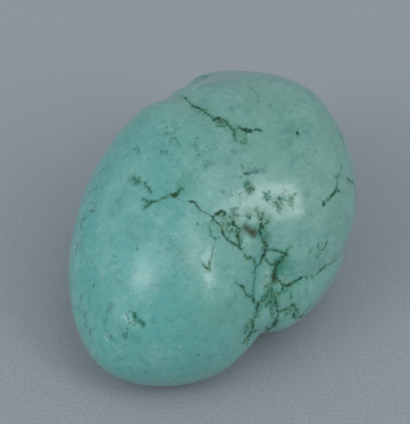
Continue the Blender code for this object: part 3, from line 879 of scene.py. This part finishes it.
@dataclass(frozen=True)
class WaxedTurquoise:
    """Turquoise, tumbled smooth and waxed.

    The mineral is opaque and fine-grained, so its colour is milky and clouded, and the wax gives broad, soft
    highlights. The matrix in its seams is softer limonite and clay, so it takes no polish and stays matt and
    dark. The finest clouds are drawn coarser than the mineral's own grain, so that they show.

    Attributes:
        slant: Which way the body turns from blue to green, and by how much for each millimetre.
        green_span: Where along the slant the green begins and where it is full.
        drift: The size of what makes that change uneven.
        drift_shift: How far that moves it.
        painted_bounce_span: The heights at which the painted bounce light low on the stone begins and is full.
        painted_bounce_most: The most that this lighter colour, painted for light from the floor, hides.
        cloud_shift: How far each cloud's pattern is moved on from the last one's.
        speck_core: The share of a speck's width where it is full.
        speck_chances: The values of a speck's cell where it begins to show and where it shows most.
        uneven: How far the roughness goes below and above its middle.
        wear: The size of that unevenness, and wear_span the pattern's values where it is least and most.
        turn: The size of the places where a pigment turns to its second colour, and turn_span the pattern's
            values where it starts to and where it has.
        grain_span: The values between which a pigment's grain thins and thickens it.
        fine_roughness: How strong the finer patterns of grains and ripples are.
        ripple: The size of the waves that tumbling leaves.
        pigments: What the marks are painted with, from the lowest up.
    """

    blue: str = "#55aaa4"
    green: str = "#74a697"
    slant: Place = (1.00, 0.55, 0.35)
    green_span: Span = (-6.0, 44.0)
    drift: float = 14.0
    drift_shift: float = 34.0
    # The colour of the painted bounce light, which the stone takes low down.
    light: str = "#80c4b2"
    painted_bounce_span: Span = (34.0, 8.0)
    painted_bounce_most: float = 0.42
    clouds: tuple[Cloud, ...] = (
        Cloud(PALE_TURQUOISE, 6.0, 4.0, 0.50, 0.72, 0.36),
        Cloud(DEEP_TURQUOISE, 4.2, 5.0, 0.52, 0.74, 0.42),
        Cloud(PALE_TURQUOISE, 1.6, 4.0, 0.50, 0.72, 0.30),
        Cloud(DEEP_TURQUOISE, 1.28, 4.0, 0.50, 0.70, 0.40),
        Cloud(PALE_TURQUOISE, 0.64, 3.0, 0.50, 0.75, 0.11),
        Cloud(DEEP_TURQUOISE, 0.528, 3.0, 0.50, 0.72, 0.20),
        Cloud(DARK_SPECK, 0.32, 2.0, 0.54, 0.74, 0.15),
    )
    cloud_roughness: float = 0.55
    cloud_shift: Place = (31.0, 17.0, 5.0)
    speck_spacing: float = 2.6
    speck_size: float = 0.16
    speck_core: float = 0.4
    speck_chances: Span = (0.70, 0.98)
    speck_most: float = 0.90
    roughness: float = 0.38
    uneven: Span = (0.06, 0.08)
    wear: float = 3.0
    wear_span: Span = (0.3, 0.7)
    wax: float = 0.90
    wax_roughness: float = 0.20
    ior: float = 1.38
    turn: float = 2.2
    turn_span: Span = (0.42, 0.60)
    grain_span: Span = (0.38, 0.62)
    fine_roughness: float = 0.6
    ripple: float = 1.3
    ripple_height: float = 0.035
    pigments: tuple[Pigment, ...] = (
        # Deeper turquoise, which also paints shade in the pocket.
        Pigment(Layer.TEAL, "#3f8a80", "#4a8a78", 1.60, 0.40, 0.05, 1.00, 0.75, 0.38),
        Pigment(Layer.MOSS, "#6aa28f", "#749f8e", 1.40, 0.40, 0.05, 1.00, 0.75, 0.42),
        # Pale chalky turquoise, which also paints highlights and light onto the stone.
        Pigment(Layer.CHALK_AND_PAINTED_LIGHT, "#9ccbc2", "#93c2b4", 0.60, 0.50, 0.08, 0.95, 0.75, 0.46),
        # The dull green stain beside the seams, which also paints shade in the pocket.
        Pigment(Layer.STAIN, "#2a7a5c", "#417b4e", 0.50, 0.40, 0.05, 1.00, 0.80, 0.46),
        Pigment(Layer.SMOKE, "#2c6d66", "#3b6d5c", 0.26, 0.50, 0.12, 0.90, 0.80, 0.46),
        Pigment(Layer.THREAD, "#36523e", "#4b5838", 0.30, 0.40, 0.10, 0.85, 0.85, 0.60),
        Pigment(Layer.RUST, "#38381e", "#3f3a20", 0.80, 0.14, 0.10, 1.00, 0.90, 0.65),
        Pigment(Layer.SEAM, "#0b4636", "#1c432b", 0.28, 0.40, 0.05, 1.00, 0.96, 0.75),
    )

    def build(self) -> bpy.types.Material:
        """Makes the stone's material.

        Returns:
            The material, which reads the skin's attributes.
        """
        material = bpy.data.materials.new("waxed turquoise with limonite matrix")
        material.use_nodes = True
        tree = material.node_tree
        shader = tree.nodes["Principled BSDF"]
        coordinates = add_node(tree, "TexCoord").outputs["Object"]
        place = add_node(tree, "VectorMath", {0: coordinates, "Scale": 1 / MM}, operation="SCALE").outputs[0]

        washes: list[Wash] = [*self.body_washes(tree, place), self.specks(tree, place)]
        rough, wax = self.body_roughness(tree, place), self.wax
        change = add_node(tree, "TexNoise", {"Vector": place, "Scale": 1 / self.turn, "Detail": 2.0})
        begins, full = self.turn_span
        turned = add_node(
            tree, "MapRange", {0: change.outputs[0], 1: begins, 2: full}, interpolation_type="SMOOTHSTEP"
        ).outputs[0]
        for pigment in self.pigments:
            share = self.share_of(tree, place, pigment)
            tones = {MIX_UNDER: linear(pigment.colour), MIX_OVER: linear(pigment.second)}
            tone = add_node(tree, "Mix", {MIX_SHARE: turned, **tones}, data_type="RGBA")
            washes.append((share, tone.outputs[MIX_RESULT]))
            rough = add_node(
                tree, "Mix", {MIX_SHARE: share, MIX_LOW: rough, MIX_HIGH: pigment.roughness}
            ).outputs[0]
            if pigment.layer.sheds_wax:
                wax = add_node(tree, "Mix", {MIX_SHARE: share, MIX_LOW: wax, MIX_HIGH: 0.0}).outputs[0]

        colour = linear(self.blue)
        for share, tone in washes:
            wash = add_node(
                tree, "Mix", {MIX_SHARE: share, MIX_UNDER: colour, MIX_OVER: tone}, data_type="RGBA"
            )
            colour = wash.outputs[MIX_RESULT]
        tree.links.new(colour, shader.inputs["Base Color"])
        tree.links.new(rough, shader.inputs["Roughness"])
        tree.links.new(self.ripples(tree, place), shader.inputs["Normal"])
        tree.links.new(wax, shader.inputs["Coat Weight"])
        shader.inputs["IOR"].default_value = self.ior
        shader.inputs["Coat Roughness"].default_value = self.wax_roughness
        return material

    def body_washes(self, tree: Tree, place: Socket) -> list[Wash]:
        """Adds what turns the body's blue to green, the painted bounce light that lightens it low down, and
        what clouds it.

        Args:
            tree: The material's node tree.
            place: The point's coordinates in millimetres.

        Returns:
            The share and the colour of each wash, from the lowest up.
        """
        side = add_node(tree, "VectorMath", {0: place, 1: self.slant}, operation="DOT_PRODUCT")
        drift = add_node(tree, "TexNoise", {"Vector": place, "Scale": 1 / self.drift, "Detail": 2.0})
        moves = {0: drift.outputs[0], 1: self.drift_shift, 2: side.outputs["Value"]}
        tilt = add_node(tree, "Math", moves, operation="MULTIPLY_ADD")
        height = add_node(tree, "SeparateXYZ", {0: place})
        ranges = [
            (tilt.outputs[0], *self.green_span, 1.0, self.green),
            # Painted bounce light: the stone lighter low down, where light from the floor falls on it.
            (height.outputs["Z"], *self.painted_bounce_span, self.painted_bounce_most, self.light),
        ]
        along, across, up = self.cloud_shift
        for number, cloud in enumerate(self.clouds):
            shift = (along * number, across, up)
            moved = add_node(tree, "VectorMath", {0: place, 1: shift}, operation="ADD")
            pattern = {"Scale": 1 / cloud.size, "Detail": cloud.detail, "Roughness": self.cloud_roughness}
            noise = add_node(tree, "TexNoise", {"Vector": moved.outputs[0], **pattern})
            ranges.append((noise.outputs[0], cloud.begins, cloud.full, cloud.most, cloud.colour))
        washes = []
        for value, begins, full, most, colour in ranges:
            share = add_node(
                tree, "MapRange", {0: value, 1: begins, 2: full, 4: most}, interpolation_type="SMOOTHSTEP"
            )
            washes.append((share.outputs[0], linear(colour)))
        return washes

    def specks(self, tree: Tree, place: Socket) -> Wash:
        """Adds the sparse dark specks, in some of the cells of a pattern.

        Args:
            tree: The material's node tree.
            place: The point's coordinates in millimetres.

        Returns:
            Their share and their colour.
        """
        cells = add_node(tree, "TexVoronoi", {"Vector": place, "Scale": 1 / self.speck_spacing})
        near = add_node(
            tree,
            "MapRange",
            {0: cells.outputs["Distance"], 1: self.speck_size, 2: self.speck_size * self.speck_core},
            interpolation_type="SMOOTHSTEP",
        )
        value = add_node(tree, "SeparateColor", {0: cells.outputs["Color"]}).outputs[0]
        begins, full = self.speck_chances
        chosen = add_node(tree, "MapRange", {0: value, 1: begins, 2: full, 4: self.speck_most})
        share = add_node(tree, "Math", {0: near.outputs[0], 1: chosen.outputs[0]}, operation="MULTIPLY")
        return share.outputs[0], linear(DARK_SPECK)

    def body_roughness(self, tree: Tree, place: Socket) -> Socket:
        """Adds the uneven polish of the stone's body.

        Args:
            tree: The material's node tree.
            place: The point's coordinates in millimetres.

        Returns:
            The roughness.
        """
        below, above = self.uneven
        wear = add_node(tree, "TexNoise", {"Vector": place, "Scale": 1 / self.wear, "Detail": 5.0})
        low, high = self.wear_span
        ends = {1: low, 2: high, 3: self.roughness - below, 4: self.roughness + above}
        return add_node(tree, "MapRange", {0: wear.outputs[0], **ends}).outputs[0]

    def share_of(self, tree: Tree, place: Socket, pigment: Pigment) -> Socket:
        """Adds where a pigment lies, with its edges broken up by its grain.

        Args:
            tree: The material's node tree.
            place: The point's coordinates in millimetres.
            pigment: The pigment.

        Returns:
            Its share.
        """
        painted = add_node(tree, "Attribute", attribute_name=pigment.layer.value).outputs["Fac"]
        pattern = {"Scale": 1 / pigment.grain, "Detail": 3.0, "Roughness": self.fine_roughness}
        grain = add_node(tree, "TexNoise", {"Vector": place, **pattern}).outputs[0]
        low, high = self.grain_span
        ends = {1: low, 2: high, 3: 1 - pigment.ragged, 4: 1 + pigment.ragged}
        broken = add_node(tree, "MapRange", {0: grain, **ends}).outputs[0]
        edge = add_node(tree, "Math", {0: painted, 1: broken}, operation="MULTIPLY").outputs[0]
        shows = {1: pigment.begins, 2: pigment.full, 4: pigment.most}
        return add_node(tree, "MapRange", {0: edge, **shows}, interpolation_type="SMOOTHSTEP").outputs[0]

    def ripples(self, tree: Tree, place: Socket) -> Socket:
        """Adds the fine unevenness that tumbling leaves, too low for the mesh.

        Args:
            tree: The material's node tree.
            place: The point's coordinates in millimetres.

        Returns:
            The normal.
        """
        pattern = {"Scale": 1 / self.ripple, "Detail": 4.0, "Roughness": self.fine_roughness}
        waves = add_node(tree, "TexNoise", {"Vector": place, **pattern}).outputs[0]
        height = {"Strength": 1.0, "Distance": self.ripple_height * MM}
        return add_node(tree, "Bump", {**height, "Height": waves}).outputs[0]


@dataclass(frozen=True)
class StudioPaper:
    """Matt blue-grey background paper, with the fine tooth that its fibres give.

    The tooth is drawn coarser than real fibres, so that it shows, and fades towards the back of the floor.
    """

    colour: str = "#9ea4a9"
    grain_colour: str = "#92999f"
    grain: float = 0.6
    grain_span: Span = (0.45, 0.65)
    front: float = -55.0
    back: float = 60.0
    least: float = 0.25
    roughness: float = 0.9

    def build(self) -> bpy.types.Material:
        """Makes the paper's material.

        Returns:
            The material.
        """
        material = bpy.data.materials.new("matt background paper")
        material.use_nodes = True
        tree = material.node_tree
        shader = tree.nodes["Principled BSDF"]
        coordinates = add_node(tree, "TexCoord").outputs["Object"]
        fibres = add_node(
            tree, "TexNoise", {"Vector": coordinates, "Scale": 1 / (self.grain * MM), "Detail": 3.0}
        )
        begins, full = self.grain_span
        tooth = add_node(tree, "MapRange", {0: fibres.outputs[0], 1: begins, 2: full})
        depth = add_node(tree, "SeparateXYZ", {0: coordinates}).outputs["Y"]
        ends = {1: self.front * MM, 2: self.back * MM, 3: 1.0, 4: self.least}
        fade = add_node(tree, "MapRange", {0: depth, **ends})
        share = add_node(tree, "Math", {0: tooth.outputs[0], 1: fade.outputs[0]}, operation="MULTIPLY")
        tones = {MIX_UNDER: linear(self.colour), MIX_OVER: linear(self.grain_colour)}
        colour = add_node(tree, "Mix", {MIX_SHARE: share.outputs[0], **tones}, data_type="RGBA")
        tree.links.new(colour.outputs[MIX_RESULT], shader.inputs["Base Color"])
        shader.inputs["Roughness"].default_value = self.roughness
        return material


@dataclass
class Trace:
    """A mark laid on the stone.

    Attributes:
        mark: The mark.
        points: Points along it, in metres.
        halves: Half its width at each point, in millimetres.
        shares: The share of the mark's strength at each point.
    """

    mark: Mark
    points: np.ndarray
    halves: np.ndarray
    shares: np.ndarray


@dataclass
class Nugget:
    """The stone: its skin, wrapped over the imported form, carved and painted along its marks.

    Attributes:
        eye: The camera, through whose picture the marks are placed.
        marks: What is painted on the skin.
        swellings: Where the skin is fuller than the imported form.
        hollows: The dents worn into it.
        heart: A point in the stone from which every ray leaves it once.
        sphere_radius: Of the sphere that becomes the skin, which starts outside the stone.
        sphere_subdivisions: How fine that sphere is.
        merge_distance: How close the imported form's points are when they are one point.
        form_levels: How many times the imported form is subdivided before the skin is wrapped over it.
        smoothing: How many times the skin is smoothed, which takes off the form's facets.
        smoothing_factor: How much each time.
        trace_step: How far apart a fine mark's points are.
        steps_across: How many of a broad mark's steps make its width.
        fine_edges: For each round of splitting, how far from a line it goes and the longest edge left.
        seed: Of the lines' straying.
        finish: What the stone is made of.
    """

    eye: Eye
    marks: Sequence[Mark] = MARKS
    swellings: Sequence[Hollow] = SWELLINGS
    hollows: Sequence[Hollow] = HOLLOWS
    heart: Place = (-1.488, 1.084, 17.1)
    sphere_radius: float = 45.0
    sphere_subdivisions: int = 7
    merge_distance: float = 0.01
    form_levels: int = 2
    smoothing: int = 14
    smoothing_factor: float = 0.5
    trace_step: float = 0.07
    steps_across: int = 6
    fine_edges: tuple[Span, ...] = ((0.34, 0.30), (0.14, 0.20))
    seed: int = 11
    finish: WaxedTurquoise = field(default_factory=WaxedTurquoise)

    def build(self) -> bpy.types.Object:
        """Makes the stone.

        Returns:
            The finished piece, at the origin, with its place in its mesh.
        """
        form = self.smooth_form()
        skin = self.wrapped_skin(form)
        bpy.data.objects.remove(form)
        sink(skin.data, self.worn(skin.data, self.swellings, self.surface_of(skin)))
        surface = self.surface_of(skin)
        traces = self.traces(surface)
        for margin, longest in self.fine_edges:
            self.split_near(skin, traces, margin, longest)
        self.carve_and_paint(skin, surface, traces)
        skin.data.materials.clear()
        skin.data.materials.append(self.finish.build())
        skin.data.shade_smooth()
        return skin

    def smooth_form(self) -> bpy.types.Object:
        """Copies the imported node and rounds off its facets.

        Returns:
            The rounded copy, which the skin is wrapped over.
        """
        form = bpy.data.objects.new("form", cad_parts[NODE].data.copy())
        bpy.context.scene.collection.objects.link(form)
        pick(form)
        bpy.ops.object.mode_set(mode="EDIT")
        bpy.ops.mesh.select_all(action="SELECT")
        bpy.ops.mesh.remove_doubles(threshold=self.merge_distance * MM)
        bpy.ops.object.mode_set(mode="OBJECT")
        rounding = form.modifiers.new("rounding", "SUBSURF")
        rounding.levels = rounding.render_levels = self.form_levels
        bpy.ops.object.modifier_apply(modifier=rounding.name)
        return form

    def wrapped_skin(self, form: bpy.types.Object) -> bpy.types.Object:
        """Shrinks a fine sphere onto the form, along its rays to the heart, and smooths it.

        Args:
            form: What it is wrapped over.

        Returns:
            The skin.
        """
        pick(None)
        bpy.ops.mesh.primitive_ico_sphere_add(
            subdivisions=self.sphere_subdivisions,
            radius=self.sphere_radius * MM,
            location=Vector(self.heart) * MM,
        )
        skin = bpy.context.object
        skin.name = skin.data.name = "turquoise_stone"
        bpy.ops.object.transform_apply(location=True, rotation=True, scale=True)
        wrap = skin.modifiers.new("wrap", "SHRINKWRAP")
        wrap.target = form
        wrap.wrap_method = "PROJECT"
        wrap.use_positive_direction = False
        wrap.use_negative_direction = True
        bpy.ops.object.modifier_apply(modifier=wrap.name)
        ease = skin.modifiers.new("ease", "SMOOTH")
        ease.factor = self.smoothing_factor
        ease.iterations = self.smoothing
        bpy.ops.object.modifier_apply(modifier=ease.name)
        return skin

    def surface_of(self, skin: bpy.types.Object) -> BVHTree:
        """Makes the tree that rays are cast at, from the skin before it is carved."""
        skin.data.calc_loop_triangles()
        return BVHTree.FromPolygons(
            [vertex.co for vertex in skin.data.vertices],
            [triangle.vertices for triangle in skin.data.loop_triangles],
        )

    def traces(self, surface: BVHTree) -> list[Trace]:
        """Lays every mark and its spurs on the skin.

        Args:
            surface: The skin.

        Returns:
            The marks' points on it.
        """
        chance = np.random.default_rng(self.seed)
        laid = []
        for mark in self.marks:
            flat, swell, shares = wander(mark, chance)
            strokes = [(mark, flat, swell, shares)]
            strokes += [(spur, *wander(spur, chance)) for spur in spurs_of(mark, flat, chance)]
            for stroke, flat, swell, shares in strokes:
                hits = [self.cast(surface, stroke.aim, *point) for point in flat]
                kept = [number for number, hit in enumerate(hits) if hit is not None]
                if not kept:
                    if stroke is mark:
                        LOG.warning("a mark at %s misses the stone", stroke.route[0])
                    continue
                points = np.array([hits[number] for number in kept])
                halves = np.maximum(swell[kept] * stroke.width / 2, LEAST_HALF)
                step = max(self.trace_step, stroke.width / self.steps_across) * MM
                laid.append(Trace(stroke, *spaced(points, halves, shares[kept], step)))
        return laid

    def cast(self, surface: BVHTree, aim: Aim, first: float, second: float) -> Vector | None:
        """Finds the place on the stone that a route's two numbers name.

        Args:
            surface: The skin.
            aim: What the numbers are.
            first: Pixels across, or the azimuth, with 0 towards the camera and 90 to its right.
            second: Pixels down, or the elevation.

        Returns:
            The place, or None where there is no stone.
        """
        if aim is Aim.PICTURE:
            return surface.ray_cast(self.eye.place(), self.eye.ray(first, second))[0]
        outwards = heading(first, second)
        start = (Vector(self.heart) + outwards * self.sphere_radius) * MM
        return surface.ray_cast(start, -outwards)[0]

    def worn(self, mesh: bpy.types.Mesh, hollows: Iterable[Hollow], surface: BVHTree) -> np.ndarray:
        """Adds up how deep these hollows are.

        Args:
            mesh: The skin's mesh.
            hollows: The hollows, or swellings.
            surface: The skin as the rays find it.

        Returns:
            Each vertex's depth, in millimetres.
        """
        index = vertex_index(mesh)
        depth = np.zeros(len(mesh.vertices))
        for hollow in hollows:
            centre = self.cast(surface, Aim.PICTURE, *hollow.centre)
            numbers, away = within(index, centre, HOLLOW_OUT * hollow.radius)
            depth[numbers] += hollow.depth * np.exp(-((away / hollow.radius) ** 2))
        return depth

    def split_near(
        self, skin: bpy.types.Object, traces: Iterable[Trace], margin: float, longest: float
    ) -> None:
        """Splits the skin's edges near the lines, where they are longer than wanted.

        Args:
            skin: The stone's skin.
            traces: The marks on it.
            margin: How far from a line's edge to go.
            longest: The longest edge to leave there.
        """
        mesh = skin.data
        near = np.zeros(len(mesh.vertices), bool)
        index = vertex_index(mesh)
        for trace in traces:
            if not trace.mark.layer.is_fine:
                continue
            for point, half in zip(trace.points[::SPLIT_EVERY], trace.halves[::SPLIT_EVERY]):
                near[[number for _, number, _ in index.find_range(point, (half + margin) * MM)]] = True
        ends = np.empty(len(mesh.edges) * 2, np.int32)
        mesh.edges.foreach_get("vertices", ends)
        ends = ends.reshape(-1, 2)
        points = coordinates_of(mesh)
        lengths = np.linalg.norm(points[ends[:, 0]] - points[ends[:, 1]], axis=1)
        wanted = near[ends].any(axis=1) & (lengths > longest * MM)
        pick(skin)
        bpy.context.tool_settings.mesh_select_mode = (False, True, False)
        bpy.ops.object.mode_set(mode="EDIT")
        bpy.ops.mesh.select_all(action="DESELECT")
        bpy.ops.object.mode_set(mode="OBJECT")
        mesh.edges.foreach_set("select", wanted)
        bpy.ops.object.mode_set(mode="EDIT")
        bpy.ops.mesh.subdivide(number_cuts=1, smoothness=1.0)
        bpy.ops.mesh.select_all(action="SELECT")
        bpy.ops.mesh.quads_convert_to_tris()
        bpy.ops.object.mode_set(mode="OBJECT")

    def carve_and_paint(self, skin: bpy.types.Object, surface: BVHTree, traces: Iterable[Trace]) -> None:
        """Wears the lines and hollows into the skin, and stores the layers on it.

        Args:
            skin: The stone's skin.
            surface: The skin as the rays find it.
            traces: The marks on it.
        """
        mesh = skin.data
        index = vertex_index(mesh)
        layers = {layer: np.zeros(len(mesh.vertices)) for layer in Layer}
        depth = self.worn(mesh, self.hollows, surface)
        for trace in traces:
            mark = trace.mark
            for point, half, share in zip(trace.points, trace.halves, trace.shares):
                numbers, away = within(index, point, MARK_OUT * half)
                bell = share * 0.5 ** ((away / half) ** 2)
                raise_to(layers[mark.layer], numbers, mark.strength * bell)
                raise_to(depth, numbers, mark.groove * bell)
            if mark.stain:
                for point, share in zip(trace.points[::STAIN_EVERY], trace.shares[::STAIN_EVERY]):
                    numbers, away = within(index, point, STAIN_OUT * mark.reach)
                    bell = share * np.exp(-((away / mark.reach) ** 2))
                    raise_to(layers[Layer.STAIN], numbers, mark.stain * bell)
        sink(mesh, depth)
        for layer, values in layers.items():
            stored = mesh.attributes.new(layer.value, "FLOAT", "POINT")
            stored.data.foreach_set("value", values.astype(np.float32))
        mesh.update()


def sink(mesh: bpy.types.Mesh, depth: np.ndarray) -> None:
    """Moves the mesh's points inwards along their normals, but never below the floor.

    Args:
        mesh: The skin's mesh.
        depth: How far each point goes, in millimetres.
    """
    normals = np.empty(len(mesh.vertices) * 3, np.float32)
    mesh.vertex_normals.foreach_get("vector", normals)
    points = coordinates_of(mesh) - normals.reshape(-1, 3) * (depth * MM)[:, None]
    points[:, 2] = np.maximum(points[:, 2], 0.0)
    mesh.vertices.foreach_set("co", points.astype(np.float32).ravel())
    mesh.update()


def pick(thing: bpy.types.Object | None) -> None:
    """Selects and activates this object alone, or nothing."""
    bpy.ops.object.select_all(action="DESELECT")
    bpy.context.view_layer.objects.active = thing
    if thing:
        thing.select_set(True)


def heading(azimuth_degrees: float, elevation_degrees: float) -> Vector:
    """Gives the direction with this azimuth and elevation.

    Args:
        azimuth_degrees: From the camera's side of the stone, and above zero to its right.
        elevation_degrees: Above the floor's plane.

    Returns:
        The direction, of length 1.
    """
    azimuth, elevation = math.radians(azimuth_degrees), math.radians(elevation_degrees)
    flat = math.cos(elevation)
    return Vector((math.sin(azimuth) * flat, -math.cos(azimuth) * flat, math.sin(elevation)))


def coordinates_of(mesh: bpy.types.Mesh) -> np.ndarray:
    """Gives the mesh's points, one a row, in metres."""
    points = np.empty(len(mesh.vertices) * 3, np.float32)
    mesh.vertices.foreach_get("co", points)
    return points.reshape(-1, 3).astype(float)


def vertex_index(mesh: bpy.types.Mesh) -> KDTree:
    """Makes an index that finds the mesh's vertices by place."""
    index = KDTree(len(mesh.vertices))
    for number, point in enumerate(coordinates_of(mesh)):
        index.insert(point, number)
    index.balance()
    return index


def within(index: KDTree, point: np.ndarray, radius: float) -> tuple[np.ndarray, np.ndarray]:
    """Finds the vertices near a point.

    Args:
        index: The mesh's vertices.
        point: The point, in metres.
        radius: How near, in millimetres.

    Returns:
        The vertices' numbers, and how far each is, in millimetres.
    """
    found = index.find_range(point, radius * MM)
    numbers = np.array([number for _, number, _ in found], int)
    return numbers, np.array([away for _, _, away in found]) / MM


def raise_to(values: np.ndarray, numbers: np.ndarray, least: np.ndarray) -> None:
    """Raises these of the values to at least what is given."""
    values[numbers] = np.maximum(values[numbers], least)


def wander(mark: Mark, chance: np.random.Generator) -> tuple[np.ndarray, np.ndarray, np.ndarray]:
    """Breaks up a mark's legs, moves each new point sideways, and varies the width and the strength.

    Args:
        mark: The mark.
        chance: Where the straying comes from.

    Returns:
        The points in the route's own numbers, and each point's shares of the mark's width and strength.
    """
    points = np.array(mark.route, float)
    swell = chance.uniform(*FIRST_WIDTHS, len(points))
    shares = chance.uniform(*FIRST_SHARES, len(points))
    for _ in range(HALVINGS):
        legs = points[1:] - points[:-1]
        sideways = np.stack((-legs[:, 1], legs[:, 0]), axis=1)
        strays = chance.uniform(-mark.stray, mark.stray, (len(legs), 1))
        middles = (points[1:] + points[:-1]) / 2 + sideways * strays
        widths = (swell[1:] + swell[:-1]) / 2 * chance.uniform(*LATER_WIDTHS, len(legs))
        depths = (shares[1:] + shares[:-1]) / 2 * chance.uniform(*LATER_SHARES, len(legs))
        points = np.insert(points, np.arange(1, len(points)), middles, axis=0)
        swell = np.insert(swell, np.arange(1, len(swell)), widths)
        shares = np.insert(shares, np.arange(1, len(shares)), depths)
    return points, swell, shares


def spurs_of(mark: Mark, points: np.ndarray, chance: np.random.Generator) -> list[Mark]:
    """Grows short side spurs from a mark, as matrix does where it fills hair cracks.

    Args:
        mark: The mark.
        points: Its points, in the route's own numbers.
        chance: Where the spurs' places come from.

    Returns:
        The spurs.
    """
    legs = points[1:] - points[:-1]
    length = np.linalg.norm(legs, axis=1).sum() / mark.aim.per_mm
    spurs = []
    for number in chance.integers(0, max(len(legs), 1), chance.poisson(mark.spurs * length)):
        across, down = legs[number]
        turn = math.atan2(down, across) + chance.choice((-1, 1)) * chance.uniform(*SPUR_TURNS)
        aside = np.array((math.cos(turn), math.sin(turn))) * mark.aim.per_mm
        start = points[number] + aside * chance.uniform(*SPUR_STARTS)
        end = start + aside * chance.uniform(*SPUR_LENGTHS)
        spur = replace(
            mark,
            route=(tuple(start), tuple(end)),
            width=chance.uniform(*SPUR_WIDTHS),
            strength=mark.strength * chance.uniform(*SPUR_STRENGTHS),
            groove=mark.groove / 2,
            spurs=0.0,
        )
        spurs.append(spur)
    return spurs


def spaced(
    points: np.ndarray, halves: np.ndarray, shares: np.ndarray, step: float
) -> tuple[np.ndarray, np.ndarray, np.ndarray]:
    """Spaces points evenly along a line.

    Args:
        points: The line's points.
        halves: A width at each.
        shares: A strength at each.
        step: The spacing, in the points' unit.

    Returns:
        The new points, and the width and strength at each.
    """
    if len(points) == 1:
        return points, halves, shares
    lengths = np.linalg.norm(np.diff(points, axis=0), axis=1)
    along = np.concatenate(([0.0], np.cumsum(lengths)))
    wanted = np.linspace(0.0, along[-1], max(2, round(along[-1] / step)))
    evenly = np.stack([np.interp(wanted, along, points[:, axis]) for axis in range(3)], axis=1)
    return evenly, np.interp(wanted, along, halves), np.interp(wanted, along, shares)


@dataclass(frozen=True)
class SoftLight:
    """A softbox: an area light that faces the stone.

    Attributes:
        azimuth_degrees: From the camera's side of the stone, and above zero to its right.
        elevation_degrees: Above the floor.
        distance: From the stone.
        width: Of its face.
        height: Of its face.
        watts: Its power.
        lean_degrees: How far its top leans towards lower azimuths.
    """

    azimuth_degrees: float
    elevation_degrees: float
    distance: float
    width: float
    height: float
    watts: float
    lean_degrees: float = 0.0

    def build(self, target: Vector) -> bpy.types.Object:
        """Makes the light.

        Args:
            target: What it faces, in metres.

        Returns:
            The light.
        """
        towards = heading(self.azimuth_degrees, self.elevation_degrees)
        bpy.ops.object.light_add(type="AREA", location=target + towards * self.distance * MM)
        light = bpy.context.object
        lean = Quaternion((0.0, 0.0, 1.0), math.radians(self.lean_degrees))
        light.rotation_euler = (towards.to_track_quat("Z", "Y") @ lean).to_euler()
        light.data.shape = "RECTANGLE"
        light.data.size = self.width * MM
        light.data.size_y = self.height * MM
        light.data.energy = self.watts
        return light


@dataclass
class Studio:
    """The floor, the sky and the softboxes round the stone.

    Attributes:
        floor_side: How long and wide the floor is.
        sky: The colour of the light from all round.
        sky_strength: Its strength.
        target: What the softboxes face.
        lights: The softboxes.
        paper: What the floor is covered with.
    """

    floor_side: float = 4000.0
    sky: str = "#ced7e0"
    sky_strength: float = 0.60
    target: Place = (0.0, 0.0, 20.0)
    lights: tuple[SoftLight, ...] = (
        SoftLight(-63, 38, 1200, 380, 430, 0.95),
        SoftLight(-52, 44, 1200, 640, 900, 1.85),
        SoftLight(53, 43, 1200, 240, 640, 2.2, lean_degrees=-25),
        SoftLight(42, 68, 1200, 380, 700, 1.45),
        SoftLight(-88, 26, 1200, 1600, 1000, 2.7),
        SoftLight(88, 26, 1200, 1600, 1000, 2.4),
    )
    paper: StudioPaper = field(default_factory=StudioPaper)

    def build(self) -> None:
        """Makes the floor, the softboxes and the sky."""
        pick(None)
        bpy.ops.mesh.primitive_plane_add(size=self.floor_side * MM)
        floor = bpy.context.object
        floor.name = "floor"
        floor.data.materials.append(self.paper.build())
        for light in self.lights:
            light.build(Vector(self.target) * MM)
        world = bpy.data.worlds.new("sky")
        world.use_nodes = True
        background = world.node_tree.nodes["Background"]
        background.inputs["Color"].default_value = linear(self.sky)
        background.inputs["Strength"].default_value = self.sky_strength
        bpy.context.scene.world = world
        bpy.context.scene.view_settings.view_transform = "Standard"


def main() -> None:
    """Builds the camera, the stone and the studio, and reports each."""
    logging.basicConfig(level=logging.INFO, format="%(name)s: %(message)s")
    eye = Eye()
    eye.build()
    stone = Nugget(eye).build()
    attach(stone, BODY)
    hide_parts(NODE)
    LOG.info("%s: %d faces, %d vertices", stone.name, len(stone.data.polygons), len(stone.data.vertices))
    Studio().build()
    LOG.info("studio: %d lights", len(bpy.data.lights))


if __name__ == "__main__":
    main()
